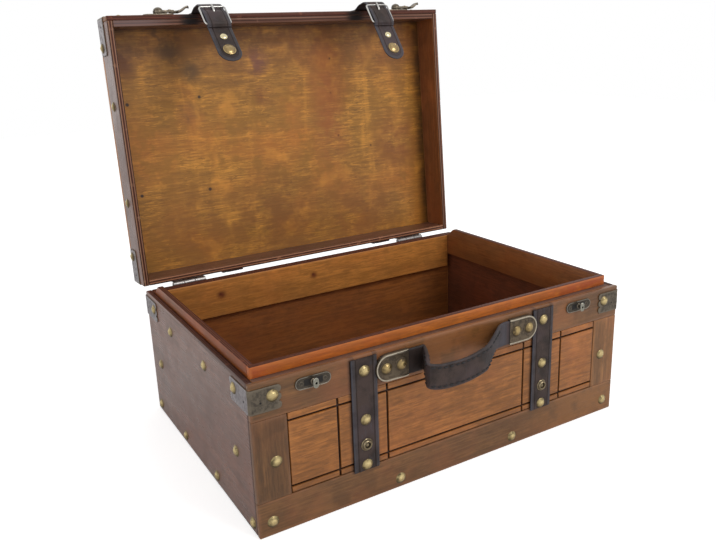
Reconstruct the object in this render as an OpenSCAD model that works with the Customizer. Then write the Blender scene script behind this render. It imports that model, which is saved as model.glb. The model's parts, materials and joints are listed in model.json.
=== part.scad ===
// Decorative wooden storage trunk with a hinged lid, leather straps and a
// carrying handle. The trunk stands on the XY plane with its front towards -Y,
// and the lid is drawn open, leaning back on its hinges.

/* [Body] */
// Width of the trunk
body_w = 388; // [360:1:460]
// Depth of the trunk
body_d = 267; // [220:1:330]
// Height of the body up to its rim
body_h = 131; // [122:1:170]
// Thickness of the side, back and inner front boards
ply_t = 6; // [4:0.5:8]
// Thickness of the boards applied to the front
face_t = 4.5; // [3:0.5:6]
// Thickness of the bottom panel
base_t = 5; // [3:0.5:8]

/* [Front frame] */
// Height of the top and bottom rails
rail_h = 30.5; // [27:0.5:36]
// Width of the two upright stiles
stile_w = 29.5; // [26:0.5:40]
// Gap round the centre panel
panel_gap = 0.8; // [0.4:0.1:1.6]
// Width of the cut grooves
groove_w = 1.5; // [0.8:0.1:2.5]
// Depth of the cut grooves
groove_d = 1.2; // [0.6:0.1:2]
// Distance of the level grooves from the rails
groove_margin = 6.5; // [5:0.5:10]
// Distance of the outer upright grooves from the stiles
groove_outer = 44; // [36:1:56]
// Distance between the two upright grooves of a pair
groove_pair = 46.5; // [36:0.5:56]

/* [Lip] */
// Thickness of the liner boards inside the walls
liner_t = 6; // [4:0.5:9]
// Depth of the liner below the rim
liner_h = 40; // [25:1:60]
// Depth of the side liners below the rim
side_liner_h = 24; // [15:1:60]
// Height of the lip above the rim
lip_h = 9; // [5:0.5:12]
// Clearance between the lip and the closed lid
lip_clear = 1; // [0.7:0.1:2]
// Distance from the back to where the side lips start to slope down
lip_end = 23; // [21:1:40]
// Length of the slope at the back end of a side lip
lip_slope = 12; // [6:1:14]

/* [Lid] */
// Height of the lid
lid_h = 38.5; // [32:0.5:56]
// Thickness of the lid's top panel
lid_top_t = 5; // [3:0.5:8]
// Gap between the rims when the lid is shut
rim_gap = 0.4; // [0.3:0.1:1]
// Angle at which the open lid rests
open_angle = 94.5; // [80:0.5:105]

/* [Hinges] */
// Length of a hinge
hinge_w = 35; // [24:1:45]
// Distance of the left hinge's middle from the side
hinge_left_in = 47.5; // [40:0.5:60]
// Distance of the right hinge's middle from the side
hinge_right_in = 59; // [40:0.5:64]
// Length of a hinge leaf
leaf_h = 18; // [12:1:24]
// Thickness of a hinge leaf
leaf_t = 1.2; // [0.8:0.1:1.6]
// Radius of the hinge knuckles
knuckle_r = 3.2; // [2.8:0.1:4]
// Radius of the hinge pin
hinge_pin_r = 1.5; // [1:0.1:1.8]
// Height of the hinge pin below the rim
hinge_drop = 0.6; // [0:0.1:1]
// Gap between the knuckles and behind them
knuckle_gap = 0.3; // [0.2:0.05:0.5]

/* [Straps] */
// Distance of a strap's middle from the side
strap_in = 98; // [92:1:106]
// Width of a strap
strap_w = 24; // [18:1:28]
// Thickness of a strap
strap_t = 1.8; // [1.2:0.1:2.4]
// Height of the lower end of a body strap
strap_low = 29; // [20:1:38]
// Distance of a body strap's upper end from the rim
strap_top_gap = 2; // [1:0.5:5]

/* [Tabs] */
// Distance from the rim down to where a tab bends
bend_drop = 18; // [14:0.5:24]
// Length of a tab below its bend
tab_l = 74; // [68:1:78]
// Thickness of a tab
tab_t = 1.8; // [1.2:0.1:2.4]
// Clearance between a shut tab and the nails under it
tab_clear = 0.4; // [0.3:0.1:1]
// Angle of the hanging left tab from its strap
tab_bend = 50; // [20:1:60]
// How much further the right tab is bent
right_tab_more = 8; // [0:1:12]
// Distance of the snap from the bend
snap_at = 60.5; // [56:0.5:61]
// Distance of the rivet from the bend
rivet_at = 43; // [40.5:0.5:46]
// Length of the folded layer that shows below a buckle
layer_l = 2.8; // [2:0.2:5]
// Distance of a buckle's upper bar from the bend
buckle_at = 4; // [2:0.5:4]
// Width of a buckle
buckle_w = 28.5; // [28.5:0.5:32]
// Length of a buckle
buckle_l = 23; // [18:0.5:25]
// Thickness of the buckle wire
buckle_wire = 1.8; // [1.4:0.1:2.2]
// Diameter of a snap cap
snap_d = 13; // [10:0.5:15]
// Height of a snap cap
snap_h = 2.2; // [1.5:0.1:3]
// Diameter of a small tab rivet
tab_rivet_d = 7.5; // [5:0.5:9]

/* [Nails] */
// Diameter of a dome nail
nail_d = 10; // [7:0.5:12]
// Height of a dome nail
nail_h = 2.4; // [1.6:0.1:3]
// Distance of the corner nails from the edges
nail_in = 12; // [9:0.5:16]
// Height of the nails along the bottom
nail_low = 8.5; // [7:0.5:13]

/* [Brackets] */
// Height of a corner bracket
bracket_h = 20; // [14:0.5:22]
// Distance of a bracket below the rim, or below the lid's top
bracket_drop = 4; // [2:0.5:6]
// Length of a bracket along the front or back
bracket_front = 26; // [22:1:32]
// Length of a bracket along the side
bracket_side = 36; // [26:1:46]
// Thickness of the bracket metal
bracket_t = 1; // [0.6:0.1:1.6]

/* [Latches] */
// Distance of a latch's middle from the side
latch_in = 53; // [50:0.5:58]
// Height of the latch pivot above the lid's rim
latch_rise = 7.6; // [6.5:0.1:12]
// Distance of the catch pin below the body's rim
catch_drop = 9.5; // [8:0.5:12]
// Length of a latch plate
latch_plate_l = 31; // [24:1:36]
// Height of a latch plate
latch_plate_h = 10; // [8:0.5:12]
// Thickness of a latch plate
latch_plate_t = 1.2; // [0.8:0.1:1.6]
// Reach of the hook from its pivot
hook_l = 32; // [30:0.5:32]
// Height of the hook blade
hook_w = 8; // [7:0.5:10]
// Thickness of the hook blade
hook_t = 1.8; // [1.2:0.1:2.4]
// Radius of the latch pivot
pivot_r = 1.5; // [1.2:0.1:2]
// Radius of the catch pin
catch_r = 1.5; // [1.2:0.1:1.8]
// Clearance at each face of the hook
hook_clear = 0.2; // [0.15:0.05:0.4]

/* [Handle] */
// Distance of the handle's middle line below the rim
handle_drop = 15.5; // [14:0.5:24]
// Height of the handle leather
handle_h = 22; // [18:0.5:24]
// Thickness of the handle leather
handle_t = 3; // [2.4:0.1:3.6]
// Height of a handle plate
handle_plate_h = 23.5; // [20:0.5:26]
// Thickness of the metal over the leather
handle_plate_t = 1.2; // [0.8:0.1:1.6]
// Length of a handle plate
handle_plate_l = 31.5; // [28:0.5:33]
// Length of a handle plate's round end that lies over its strap
handle_lap = 2; // [0:0.5:3]
// Distance that the grip stands out from the front
handle_reach = 27.5; // [22:0.5:34]
// Angle at which the loose grip droops
handle_droop = 18; // [0:1:22]

/* [Hidden] */
$fn = 48;

// Colours
panel_wood = [0.70, 0.40, 0.19];
rail_wood = [0.46, 0.30, 0.17];
side_wood = [0.40, 0.31, 0.27];
lip_wood = [0.72, 0.33, 0.15];
inner_wood = [0.62, 0.40, 0.18];
rim_wood = [0.33, 0.18, 0.12];
leather = [0.20, 0.19, 0.20];
gunmetal = [0.33, 0.33, 0.30];
old_brass = [0.60, 0.50, 0.32];
bright_steel = [0.80, 0.80, 0.80];

// Outer planes of the body and of the shut lid
side_x = body_w / 2;
front_y = -body_d / 2;
back_y = body_d / 2;
lid_z = body_h + rim_gap;
lid_top = lid_z + lid_h;
// Inner faces of the boards
inner_x = side_x - ply_t;
backing_y = front_y + face_t;
inner_front_y = backing_y + ply_t;
inner_back_y = back_y - ply_t;
// Hinge line
hinge_y = back_y + knuckle_r + knuckle_gap;
hinge_z = body_h - hinge_drop;
knuckle_l = (hinge_w - 2 * knuckle_gap) / 3;
pin_fit = 0.05;
hinge_xs = [-side_x + hinge_left_in, side_x - hinge_right_in];
// Strap and latch lines
strap_x = side_x - strap_in;
latch_x = side_x - latch_in;
latch_z = lid_z + latch_rise;
catch_z = body_h - catch_drop;
// Nails on the body straps, from the upper to the lower
strap_top = body_h - strap_top_gap;
strap_nail_top = 11;
strap_nail_mid = 4;
strap_nail_end = 5;
strap_nail_zs = [strap_top - strap_nail_top, (strap_top + strap_low) / 2 - strap_nail_mid,
                 strap_low + strap_nail_end];
lid_strap_nail_in = 26;
// A shut tab lies over the strap, its nails and a clearance
tab_y = strap_t + nail_h + tab_clear + tab_t / 2;
bend_z = body_h - bend_drop;
stud_z = bend_z - snap_at;
stud_d = 11;
stud_ring = 6.8;
// A strap ends just above the bend, and its tab starts where it can still turn
strap_end = bend_z + 0.3;
tab_start = tab_t / 2;
wire_y = -(tab_t / 2 + 0.2 + buckle_wire / 2);
layer_start = buckle_at + buckle_l + buckle_wire / 2 + 0.3;
// Nails along the sides, as distances from the front or the back edge
side_nail_far = 91.5;
side_nail_upper_front = 99;
side_nail_upper_back = 76;
side_nail_mid_front = 37;
side_nail_mid_back = 29;
bracket_nail_front = 18.5;
bracket_nail_side = 28;
bracket_z = body_h - bracket_drop - bracket_h;
lid_bracket_z = lid_top - bracket_drop - bracket_h;
front_nail_x = 62.5;
stile_nail_drop = 2.5;
side_nail_drop = 20.5;
side_nail_mid_drop = 5.5;
lid_nail_side = 85;
// Heights above the front plane within a latch
spacer_t = 1.4;
spacer_d = 6.4;
latch_rivet_d = 9;
latch_rivet_h = 3;
hook_eye_d = 10;
hook_bend = 6;
hook_tip = 3.8;
catch_head_l = 8.5;
catch_head_w = 4;
catch_head_t = 1.2;
spacer_out = latch_plate_t + spacer_t;
hook_out = spacer_out + hook_clear;
rivet_head_out = hook_out + hook_t + hook_clear;
// Handle
handle_z = body_h - handle_drop;
handle_top_out = handle_t + handle_plate_t;
handle_axis_out = handle_t / 2;
handle_mouth = strap_x - strap_w / 2 + handle_lap - handle_plate_l;
handle_nail_near = 7.2;
handle_nail_far = 22;
// The plan is drawn for a mouth at 54.5 and a reach of 27.5, and follows both
plan_x = handle_mouth / 54.5;
plan_y = handle_reach / 27.5;
left_cut_x = -44.5 * plan_x;
right_cut_x = 30.5 * plan_x;
cut_gap = 0.3;
// The leather ends this far short of a plate's round end
plate_cap = 6;
// Plan of the handle leather, x from the middle and y out from the front:
// flat under the left plate, folded sharply outwards, along the grip, and in
// one sweep back under the right plate
plate_end = handle_mouth + handle_plate_l - plate_cap;
handle_path = [[-plate_end, -handle_axis_out],
               [-39.5 * plan_x, -handle_axis_out],
               [-38 * plan_x, -handle_axis_out - 1.6 * plan_y],
               [-51 * plan_x, -24.5 * plan_y],
               [-48.5 * plan_x, -26.8 * plan_y],
               [-34 * plan_x, -handle_reach],
               [-17 * plan_x, -handle_reach],
               [plan_x, -26 * plan_y],
               [12 * plan_x, -23.5 * plan_y],
               [21.5 * plan_x, -20 * plan_y],
               [30 * plan_x, -14 * plan_y],
               [37 * plan_x, -handle_axis_out - 5.5 * plan_y],
               [43 * plan_x, -handle_axis_out - 1.5 * plan_y],
               [49.5 * plan_x, -handle_axis_out],
               [plate_end, -handle_axis_out]];

function unit(a, b) = (b - a) / norm(b - a);
function left_of(d) = [-d[1], d[0]];
function side_step(p, i) =
    let (n = len(p) - 1,
         before = left_of(unit(p[max(i - 1, 0)], p[max(i, 1)])),
         after = left_of(unit(p[min(i, n - 1)], p[min(i + 1, n)])))
    (before + after) / (1 + before * after);
// Outline of a band of thickness t along the centre line p
function band(p, t) =
    concat([for (i = [0 : len(p) - 1]) p[i] + t / 2 * side_step(p, i)],
           [for (i = [len(p) - 1 : -1 : 0]) p[i] - t / 2 * side_step(p, i)]);

module both_sides() { children(); mirror([1, 0, 0]) children(); }
module both_ends() { children(); mirror([0, 1, 0]) children(); }
// A box from its lowest to its highest corner
module block(lo, hi) translate(lo) cube(hi - lo);
// Flat shapes drawn in Y and Z, centred on x and w wide
module along_x(x, w) translate([x, 0, 0]) rotate([90, 0, 90]) linear_extrude(w, center = true) children();
// Things built upwards, set on the front, left side or back
module on_front(x, z, out = 0) translate([x, front_y - out, z]) rotate([90, 0, 0]) children();
module on_left(y, z, out = 0) translate([-side_x - out, y, z]) rotate([90, 0, -90]) children();
module on_back(x, z, out = 0) translate([x, back_y + out, z]) rotate([90, 0, 180]) children();
module stadium(l, h) {
    square([l - h, h], center = true);
    for (s = [-1, 1]) translate([s * (l - h) / 2, 0]) circle(d = h);
}
// A domed head of diameter d and height h
module dome(d, h) {
    r = (d * d / 4 + h * h) / (2 * h);
    intersection() {
        translate([0, 0, h - r]) sphere(r, $fn = 64);
        cylinder(d = d + 1, h = h + 1);
    }
}
module nail() dome(nail_d, nail_h);
// Swings what is drawn on the shut lid to where the open lid rests
module lid_open() {
    translate([0, hinge_y, hinge_z]) rotate([-open_angle, 0, 0]) translate([0, -hinge_y, -hinge_z]) children();
}

// Body boards
module bottom_panel() {
    color(inner_wood) block([-inner_x, inner_front_y, 0], [inner_x, inner_back_y, base_t]);
}
module side_wall() block([-side_x, backing_y, 0], [-inner_x, back_y, body_h]);
module left_wall() { color(side_wood) side_wall(); }
module right_wall() { color(side_wood) mirror([1, 0, 0]) side_wall(); }
module back_wall() {
    color(rail_wood) block([-inner_x, inner_back_y, 0], [inner_x, back_y, body_h]);
}
module front_backing() {
    color(rail_wood) block([-inner_x, backing_y, 0], [inner_x, inner_front_y, body_h]);
}
module top_rail() {
    color(rail_wood) block([-side_x, front_y, body_h - rail_h], [side_x, backing_y, body_h]);
}
module bottom_rail() {
    color(rail_wood) block([-side_x, front_y, 0], [side_x, backing_y, rail_h]);
}
module stile() block([-side_x, front_y, rail_h], [-side_x + stile_w, backing_y, body_h - rail_h]);
module left_stile() { color(rail_wood) stile(); }
module right_stile() { color(rail_wood) mirror([1, 0, 0]) stile(); }
module front_panel() {
    px = side_x - stile_w - panel_gap;
    z0 = rail_h + panel_gap;
    z1 = body_h - rail_h - panel_gap;
    cut = groove_d + 1;
    color(panel_wood) difference() {
        block([-px, front_y, z0], [px, backing_y, z1]);
        for (z = [rail_h + groove_margin, body_h - rail_h - groove_margin])
            translate([0, front_y + groove_d - cut / 2, z]) cube([2 * px + 2, cut, groove_w], center = true);
        for (s = [-1, 1], d = [groove_outer, groove_outer + groove_pair])
            translate([s * (side_x - stile_w - d), front_y + groove_d - cut / 2, body_h / 2])
                cube([groove_w, cut, body_h], center = true);
    }
}

// Liner boards with the lip that the shut lid fits over
module front_liner() {
    color(lip_wood) union() {
        block([-inner_x, inner_front_y, body_h - liner_h], [inner_x, inner_front_y + liner_t, body_h]);
        block([-inner_x + lip_clear, inner_front_y + lip_clear, body_h - 0.5],
              [inner_x - lip_clear, inner_front_y + liner_t, body_h + lip_h]);
    }
}
module side_liner() {
    y0 = inner_front_y + liner_t;
    block([-inner_x, y0, body_h - side_liner_h], [-inner_x + liner_t, inner_back_y, body_h]);
    along_x(-inner_x + (liner_t + lip_clear) / 2, liner_t - lip_clear)
        polygon([[y0, body_h - 0.5], [y0, body_h + lip_h], [back_y - lip_end, body_h + lip_h],
                 [back_y - lip_end + lip_slope, body_h], [back_y - lip_end + lip_slope, body_h - 0.5]]);
}
module left_liner() { color(lip_wood) side_liner(); }
module right_liner() { color(lip_wood) mirror([1, 0, 0]) side_liner(); }
module back_liner() {
    x = inner_x - liner_t;
    color(inner_wood) block([-x, inner_back_y - liner_t, body_h - liner_h], [x, inner_back_y, body_h]);
}

// Leather straps on the body
module body_strap() {
    block([-strap_x - strap_w / 2, front_y - strap_t, strap_low], [-strap_x + strap_w / 2, front_y, strap_top]);
}
module front_straps() { color(leather) both_sides() body_strap(); }
module back_straps() { color(leather) both_sides() mirror([0, 1, 0]) body_strap(); }
module strap_nails() {
    color(old_brass) both_sides() both_ends()
        for (z = strap_nail_zs) on_front(-strap_x, z, strap_t) nail();
}
module snap_studs() {
    stud_h = tab_y - tab_t / 2 - strap_t - 0.3;
    ring_r = stud_h / 3;
    color(bright_steel) both_sides() on_front(-strap_x, stud_z, strap_t) {
        cylinder(d = stud_d, h = stud_h - 2 * ring_r + 0.3);
        translate([0, 0, stud_h - ring_r]) rotate_extrude() translate([stud_ring / 2, 0]) circle(ring_r);
    }
}

// Corner brackets and dome nails
module bracket_leg(l) {
    lobe = bracket_h / 6;
    square([l - lobe, bracket_h]);
    for (k = [1, 3, 5]) translate([l - lobe, k * lobe]) circle(lobe);
}
module bracket(z) {
    t = bracket_t;
    translate([-side_x - t, front_y, z]) rotate([90, 0, 0]) linear_extrude(t) bracket_leg(bracket_front + t);
    translate([-side_x, front_y - t, z]) rotate([90, 0, 90]) mirror([0, 0, 1]) linear_extrude(t) bracket_leg(bracket_side + t);
}
module corner_brackets() { color(gunmetal) both_sides() both_ends() bracket(bracket_z); }
module bracket_nails(z) {
    on_front(-side_x + bracket_nail_front, z, bracket_t) nail();
    on_left(front_y + bracket_nail_side, z, bracket_t) nail();
}
module end_nails() {
    bracket_nails(bracket_z + bracket_h * 0.6);
    on_front(-side_x + stile_w * 0.62, body_h / 2 - stile_nail_drop) nail();
    on_front(-side_x + nail_in, nail_in) nail();
    on_front(-front_nail_x, nail_low) nail();
    on_left(front_y + nail_in, nail_low) nail();
    on_left(front_y + side_nail_far, nail_low) nail();
}
module body_nails() {
    color(old_brass) both_sides() {
        both_ends() end_nails();
        on_left(front_y + side_nail_upper_front, body_h - side_nail_drop) nail();
        on_left(back_y - side_nail_upper_back, body_h - side_nail_drop) nail();
        on_left(front_y + side_nail_mid_front, body_h / 2 - side_nail_mid_drop) nail();
        on_left(back_y - side_nail_mid_back, body_h / 2 - side_nail_mid_drop) nail();
    }
}

// Catches on the body: a plate, and a pin with an upright head
module latch_plate() linear_extrude(latch_plate_t) stadium(latch_plate_l, latch_plate_h);
module catch_plates() { color(gunmetal) both_sides() on_front(-latch_x, catch_z) latch_plate(); }
module catch_pins() {
    head = hook_out + hook_t + 2 * hook_clear;
    color(bright_steel) both_sides() on_front(-latch_x, catch_z) {
        translate([0, 0, latch_plate_t]) cylinder(r = catch_r, h = head - latch_plate_t + 0.5);
        translate([0, 0, head]) linear_extrude(catch_head_t) rotate(90) stadium(catch_head_l, catch_head_w);
    }
}

// Carrying handle: two plates over the ends of the leather
module handle_plate() {
    h = handle_plate_h;
    l = handle_plate_l;
    difference() {
        on_front(-handle_mouth - l, handle_z) linear_extrude(handle_top_out) union() {
            translate([h / 2, 0]) circle(d = h);
            translate([h / 2, -h / 2]) square([l - h / 2, h]);
        }
        block([-plate_end - 0.1, front_y - handle_t, handle_z - handle_h / 2 - 0.1],
              [-handle_mouth + 1, front_y + 1, handle_z + handle_h / 2 + 0.1]);
        block([-strap_x - strap_w / 2, front_y - strap_t, 0], [-strap_x + strap_w / 2 + 0.1, front_y + 1, body_h]);
    }
}
module handle_plates() { color(old_brass) both_sides() handle_plate(); }
module handle_nails() {
    color(old_brass) both_sides()
        for (d = [handle_nail_near, handle_nail_far]) on_front(-handle_mouth - d, handle_z, handle_top_out) nail();
}
module handle_leather() {
    translate([0, front_y, handle_z]) linear_extrude(handle_h, center = true) polygon(band(handle_path, handle_t));
}
module handle_left_end() {
    color(leather) intersection() {
        handle_leather();
        union() {
            block([-side_x, front_y - handle_t, 0], [0, front_y, body_h]);
            block([left_cut_x, front_y - handle_reach + 6, 0], [0, front_y, body_h]);
        }
    }
}
module handle_right_end() {
    color(leather) intersection() {
        handle_leather();
        block([right_cut_x, front_y - handle_reach, 0], [side_x, front_y, body_h]);
    }
}
// The grip between the two cuts, drooping about the line where it leaves the plates
module handle_grip() {
    reach = handle_reach + handle_t;
    color(leather) translate([0, front_y - handle_axis_out, handle_z]) rotate([handle_droop, 0, 0])
        translate([0, -front_y + handle_axis_out, -handle_z]) intersection() {
            handle_leather();
            union() {
                block([-side_x, front_y - reach, 0], [left_cut_x - cut_gap, front_y - handle_t - 2, body_h]);
                block([left_cut_x - 1, front_y - reach, 0], [right_cut_x - cut_gap, front_y - handle_reach + 5, body_h]);
                block([0, front_y - reach, 0], [right_cut_x - cut_gap, front_y - 6, body_h]);
            }
        }
}

// Hinges
module knuckle_ring(x, l) along_x(x, l) difference() {
    union() {
        translate([hinge_y, hinge_z]) circle(knuckle_r);
        children();
    }
    translate([hinge_y, hinge_z]) circle(hinge_pin_r + pin_fit);
}
module body_leaf(x) {
    z0 = hinge_z - leaf_h;
    z1 = hinge_z - knuckle_r - knuckle_gap;
    block([x - hinge_w / 2, back_y, z0], [x + hinge_w / 2, back_y + leaf_t, z1]);
    for (s = [-1, 1]) knuckle_ring(x + s * (knuckle_l + knuckle_gap), knuckle_l)
        translate([back_y + knuckle_gap, z1 - 1]) square([leaf_t, hinge_z - z1 + 1]);
}
module lid_leaf(x) {
    z0 = hinge_z + knuckle_r + knuckle_gap;
    z1 = hinge_z + leaf_h;
    block([x - hinge_w / 2, back_y, z0], [x + hinge_w / 2, back_y + leaf_t, z1]);
    knuckle_ring(x, knuckle_l)
        translate([back_y + knuckle_gap, hinge_z]) square([leaf_t, z0 - hinge_z + 1]);
}
module body_hinge_leaves() { color(gunmetal) for (x = hinge_xs) body_leaf(x); }
module lid_hinge_leaves() { color(gunmetal) lid_open() for (x = hinge_xs) lid_leaf(x); }
module hinge_pins() {
    color(gunmetal) for (x = hinge_xs) along_x(x, hinge_w + 1) translate([hinge_y, hinge_z]) circle(hinge_pin_r);
}

// Lid boards
module lid_top_panel() {
    color(inner_wood) lid_open() block([-side_x, backing_y, lid_top - lid_top_t], [side_x, back_y, lid_top]);
}
module lid_front_rail() {
    color(rail_wood) lid_open() block([-side_x, front_y, lid_z], [side_x, backing_y, lid_top]);
}
module lid_front_board() {
    color(rim_wood) lid_open() block([-inner_x, backing_y, lid_z], [inner_x, inner_front_y, lid_top - lid_top_t]);
}
module lid_back_board() {
    color(rim_wood) lid_open() block([-inner_x, inner_back_y, lid_z], [inner_x, back_y, lid_top - lid_top_t]);
}
module lid_side_board() block([-side_x, backing_y, lid_z], [-inner_x, back_y, lid_top - lid_top_t]);
module lid_left_board() { color(rim_wood) lid_open() lid_side_board(); }
module lid_right_board() { color(rim_wood) lid_open() mirror([1, 0, 0]) lid_side_board(); }

// Leather straps over the lid, each reaching past the rim to its buckle
module lid_straps() {
    mid = strap_t / 2;
    path = [[front_y - tab_y, strap_end],
            [front_y - tab_y, body_h - 4],
            [front_y - mid, lid_z + 5],
            [front_y - mid, lid_top + mid],
            [back_y + mid, lid_top + mid],
            [back_y + mid, lid_z + 2]];
    color(leather) lid_open() both_sides() along_x(-strap_x, strap_w) polygon(band(path, strap_t));
}
module lid_strap_nails() {
    color(old_brass) lid_open() both_sides() {
        for (y = [front_y + lid_strap_nail_in, 0, back_y - lid_strap_nail_in])
            translate([-strap_x, y, lid_top + strap_t]) nail();
        on_back(-strap_x, lid_z + lid_h / 2, strap_t) nail();
    }
}
module lid_brackets() { color(gunmetal) lid_open() both_sides() both_ends() bracket(lid_bracket_z); }
module lid_nails() {
    z = lid_z + lid_h / 2;
    color(old_brass) lid_open() both_sides() {
        both_ends() bracket_nails(lid_bracket_z + bracket_h * 0.6);
        both_ends() on_left(front_y + lid_nail_side, z) nail();
    }
}

// Latch on the lid: a plate, and a rivet whose spacer carries the hook
module latch_plates() { color(gunmetal) lid_open() both_sides() on_front(-latch_x, latch_z) latch_plate(); }
module latch_rivets() {
    color(gunmetal) lid_open() both_sides() on_front(-latch_x, latch_z) {
        translate([0, 0, latch_plate_t]) cylinder(d = spacer_d, h = spacer_out - latch_plate_t);
        translate([0, 0, latch_plate_t]) cylinder(r = pivot_r, h = rivet_head_out - latch_plate_t + 1);
        translate([0, 0, rivet_head_out]) dome(latch_rivet_d, latch_rivet_h);
    }
}
// The hook lies along +X; its notch is on the edge that leads as it swings down
module latch_hook(x) {
    mid = hook_out + hook_t / 2;
    reach = latch_z - catch_z;
    path = [[0, mid], [hook_l - hook_bend * 5 / 3, mid], [hook_l - hook_bend, mid + hook_tip * 0.34],
            [hook_l, mid + hook_tip]];
    lid_open() on_front(x, latch_z) difference() {
        union() {
            translate([0, 0, hook_out]) cylinder(d = hook_eye_d, h = hook_t);
            rotate([90, 0, 0]) linear_extrude(hook_w, center = true) polygon(band(path, hook_t));
        }
        translate([0, 0, -1]) cylinder(r = pivot_r + pin_fit, h = 20);
        translate([reach, 0, -1]) cylinder(r = catch_r + 0.4, h = 20);
        translate([reach - catch_r - 0.4, -hook_w, -1]) cube([2 * catch_r + 0.8, hook_w, 20]);
    }
}
module left_latch_hook() { color(gunmetal) latch_hook(-latch_x); }
module right_latch_hook() { color(gunmetal) latch_hook(latch_x); }

// Buckled tabs, drawn hanging from the bend: -Z is along the tab, -Y is outwards
module tab_hang(x) {
    bend = tab_bend + (x > 0 ? right_tab_more : 0);
    lid_open() translate([x, front_y - tab_y, bend_z]) rotate([bend, 0, 0]) children();
}
module tab() {
    t = tab_t / 2;
    translate([0, t, 0]) rotate([90, 0, 0]) linear_extrude(tab_t) union() {
        translate([-strap_w / 2, -tab_l + strap_w / 2]) square([strap_w, tab_l - strap_w / 2 - tab_start]);
        translate([0, -tab_l + strap_w / 2]) circle(d = strap_w);
    }
    block([-strap_w / 2, -t - tab_t, -layer_start - layer_l], [strap_w / 2, -t, -layer_start]);
}
module buckle() {
    x = (buckle_w - buckle_wire) / 2;
    for (s = [-1, 1]) translate([s * x, wire_y, -buckle_l]) cylinder(d = buckle_wire, h = buckle_l);
    for (z = [0, -buckle_l]) {
        translate([-x, wire_y, z]) rotate([0, 90, 0]) cylinder(d = buckle_wire, h = 2 * x);
        for (s = [-1, 1]) translate([s * x, wire_y, z]) sphere(d = buckle_wire);
    }
}
module prong() {
    translate([0, wire_y - buckle_wire - 0.02, -buckle_l - 1]) cylinder(d = buckle_wire, h = buckle_l + 3);
}
module tab_snap() translate([0, -tab_t / 2, -snap_at]) rotate([90, 0, 0]) dome(snap_d, snap_h);
module tab_rivet() translate([0, -tab_t / 2, -rivet_at]) rotate([90, 0, 0]) dome(tab_rivet_d, 1.6);

module left_tab() { color(leather) tab_hang(-strap_x) tab(); }
module left_buckle() { color(bright_steel) tab_hang(-strap_x) translate([0, 0, -buckle_at]) buckle(); }
module left_prong() { color(bright_steel) tab_hang(-strap_x) translate([0, 0, -buckle_at]) prong(); }
module left_snap() { color(old_brass) tab_hang(-strap_x) tab_snap(); }
module left_tab_rivet() { color(bright_steel) tab_hang(-strap_x) tab_rivet(); }
module right_tab() { color(leather) tab_hang(strap_x) tab(); }
module right_buckle() { color(bright_steel) tab_hang(strap_x) translate([0, 0, -buckle_at]) buckle(); }
module right_prong() { color(bright_steel) tab_hang(strap_x) translate([0, 0, -buckle_at]) prong(); }
module right_snap() { color(old_brass) tab_hang(strap_x) tab_snap(); }
module right_tab_rivet() { color(bright_steel) tab_hang(strap_x) tab_rivet(); }

bottom_panel();
left_wall();
right_wall();
back_wall();
front_backing();
top_rail();
bottom_rail();
left_stile();
right_stile();
front_panel();
front_liner();
left_liner();
right_liner();
back_liner();
front_straps();
back_straps();
strap_nails();
snap_studs();
corner_brackets();
body_nails();
catch_plates();
catch_pins();
handle_plates();
handle_nails();
handle_left_end();
handle_right_end();
body_hinge_leaves();
hinge_pins();
lid_top_panel();
lid_front_rail();
lid_front_board();
lid_back_board();
lid_left_board();
lid_right_board();
lid_straps();
lid_strap_nails();
lid_brackets();
lid_nails();
lid_hinge_leaves();
latch_plates();
latch_rivets();
left_latch_hook();
right_latch_hook();
left_tab();
left_buckle();
left_prong();
left_snap();
left_tab_rivet();
right_tab();
right_buckle();
right_prong();
right_snap();
right_tab_rivet();
handle_grip();
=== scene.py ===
import json
import math
import random

import bmesh
import bpy
import numpy as np
from bpy.props import FloatProperty, FloatVectorProperty, IntProperty, PointerProperty
from mathutils import Matrix, Vector, noise


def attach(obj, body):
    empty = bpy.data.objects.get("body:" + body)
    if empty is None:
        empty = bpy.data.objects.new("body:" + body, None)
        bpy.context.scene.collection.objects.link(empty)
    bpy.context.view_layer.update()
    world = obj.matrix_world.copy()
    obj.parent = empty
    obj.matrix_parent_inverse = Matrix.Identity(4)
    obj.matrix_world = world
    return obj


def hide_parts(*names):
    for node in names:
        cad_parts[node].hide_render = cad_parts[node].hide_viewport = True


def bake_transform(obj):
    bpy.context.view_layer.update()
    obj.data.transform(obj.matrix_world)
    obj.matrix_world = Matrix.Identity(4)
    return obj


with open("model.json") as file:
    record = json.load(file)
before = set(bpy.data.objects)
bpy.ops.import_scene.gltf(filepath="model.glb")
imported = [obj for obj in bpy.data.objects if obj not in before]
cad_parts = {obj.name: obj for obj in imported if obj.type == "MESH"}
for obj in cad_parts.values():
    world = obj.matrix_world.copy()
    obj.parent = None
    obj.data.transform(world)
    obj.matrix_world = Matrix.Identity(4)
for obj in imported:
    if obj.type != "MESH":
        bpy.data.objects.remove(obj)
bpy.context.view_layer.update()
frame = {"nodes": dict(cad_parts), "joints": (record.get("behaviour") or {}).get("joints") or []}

bl_info = {
    "name": "Wooden Storage Trunk",
    "version": (1, 0, 0),
    "blender": (4, 5, 0),
    "location": "View3D > Sidebar > Trunk",
    "description": "Dresses the solids of a wooden storage trunk: boards, leather, nails and fittings",
    "category": "Object",
}

MM = 0.001


def tint(red, green, blue):
    """A colour given as 0 to 255 display values, in the linear values that the shaders take."""
    return tuple((c / 255 / 12.92) if c <= 10 else ((c / 255 + 0.055) / 1.055) ** 2.4
                 for c in (red, green, blue))


def clamped(value):
    return max(0.0, min(1.0, value))


def eased(share):
    """A share from 0 to 1 that starts and ends softly."""
    return share * share * (3 - 2 * share)


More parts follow.
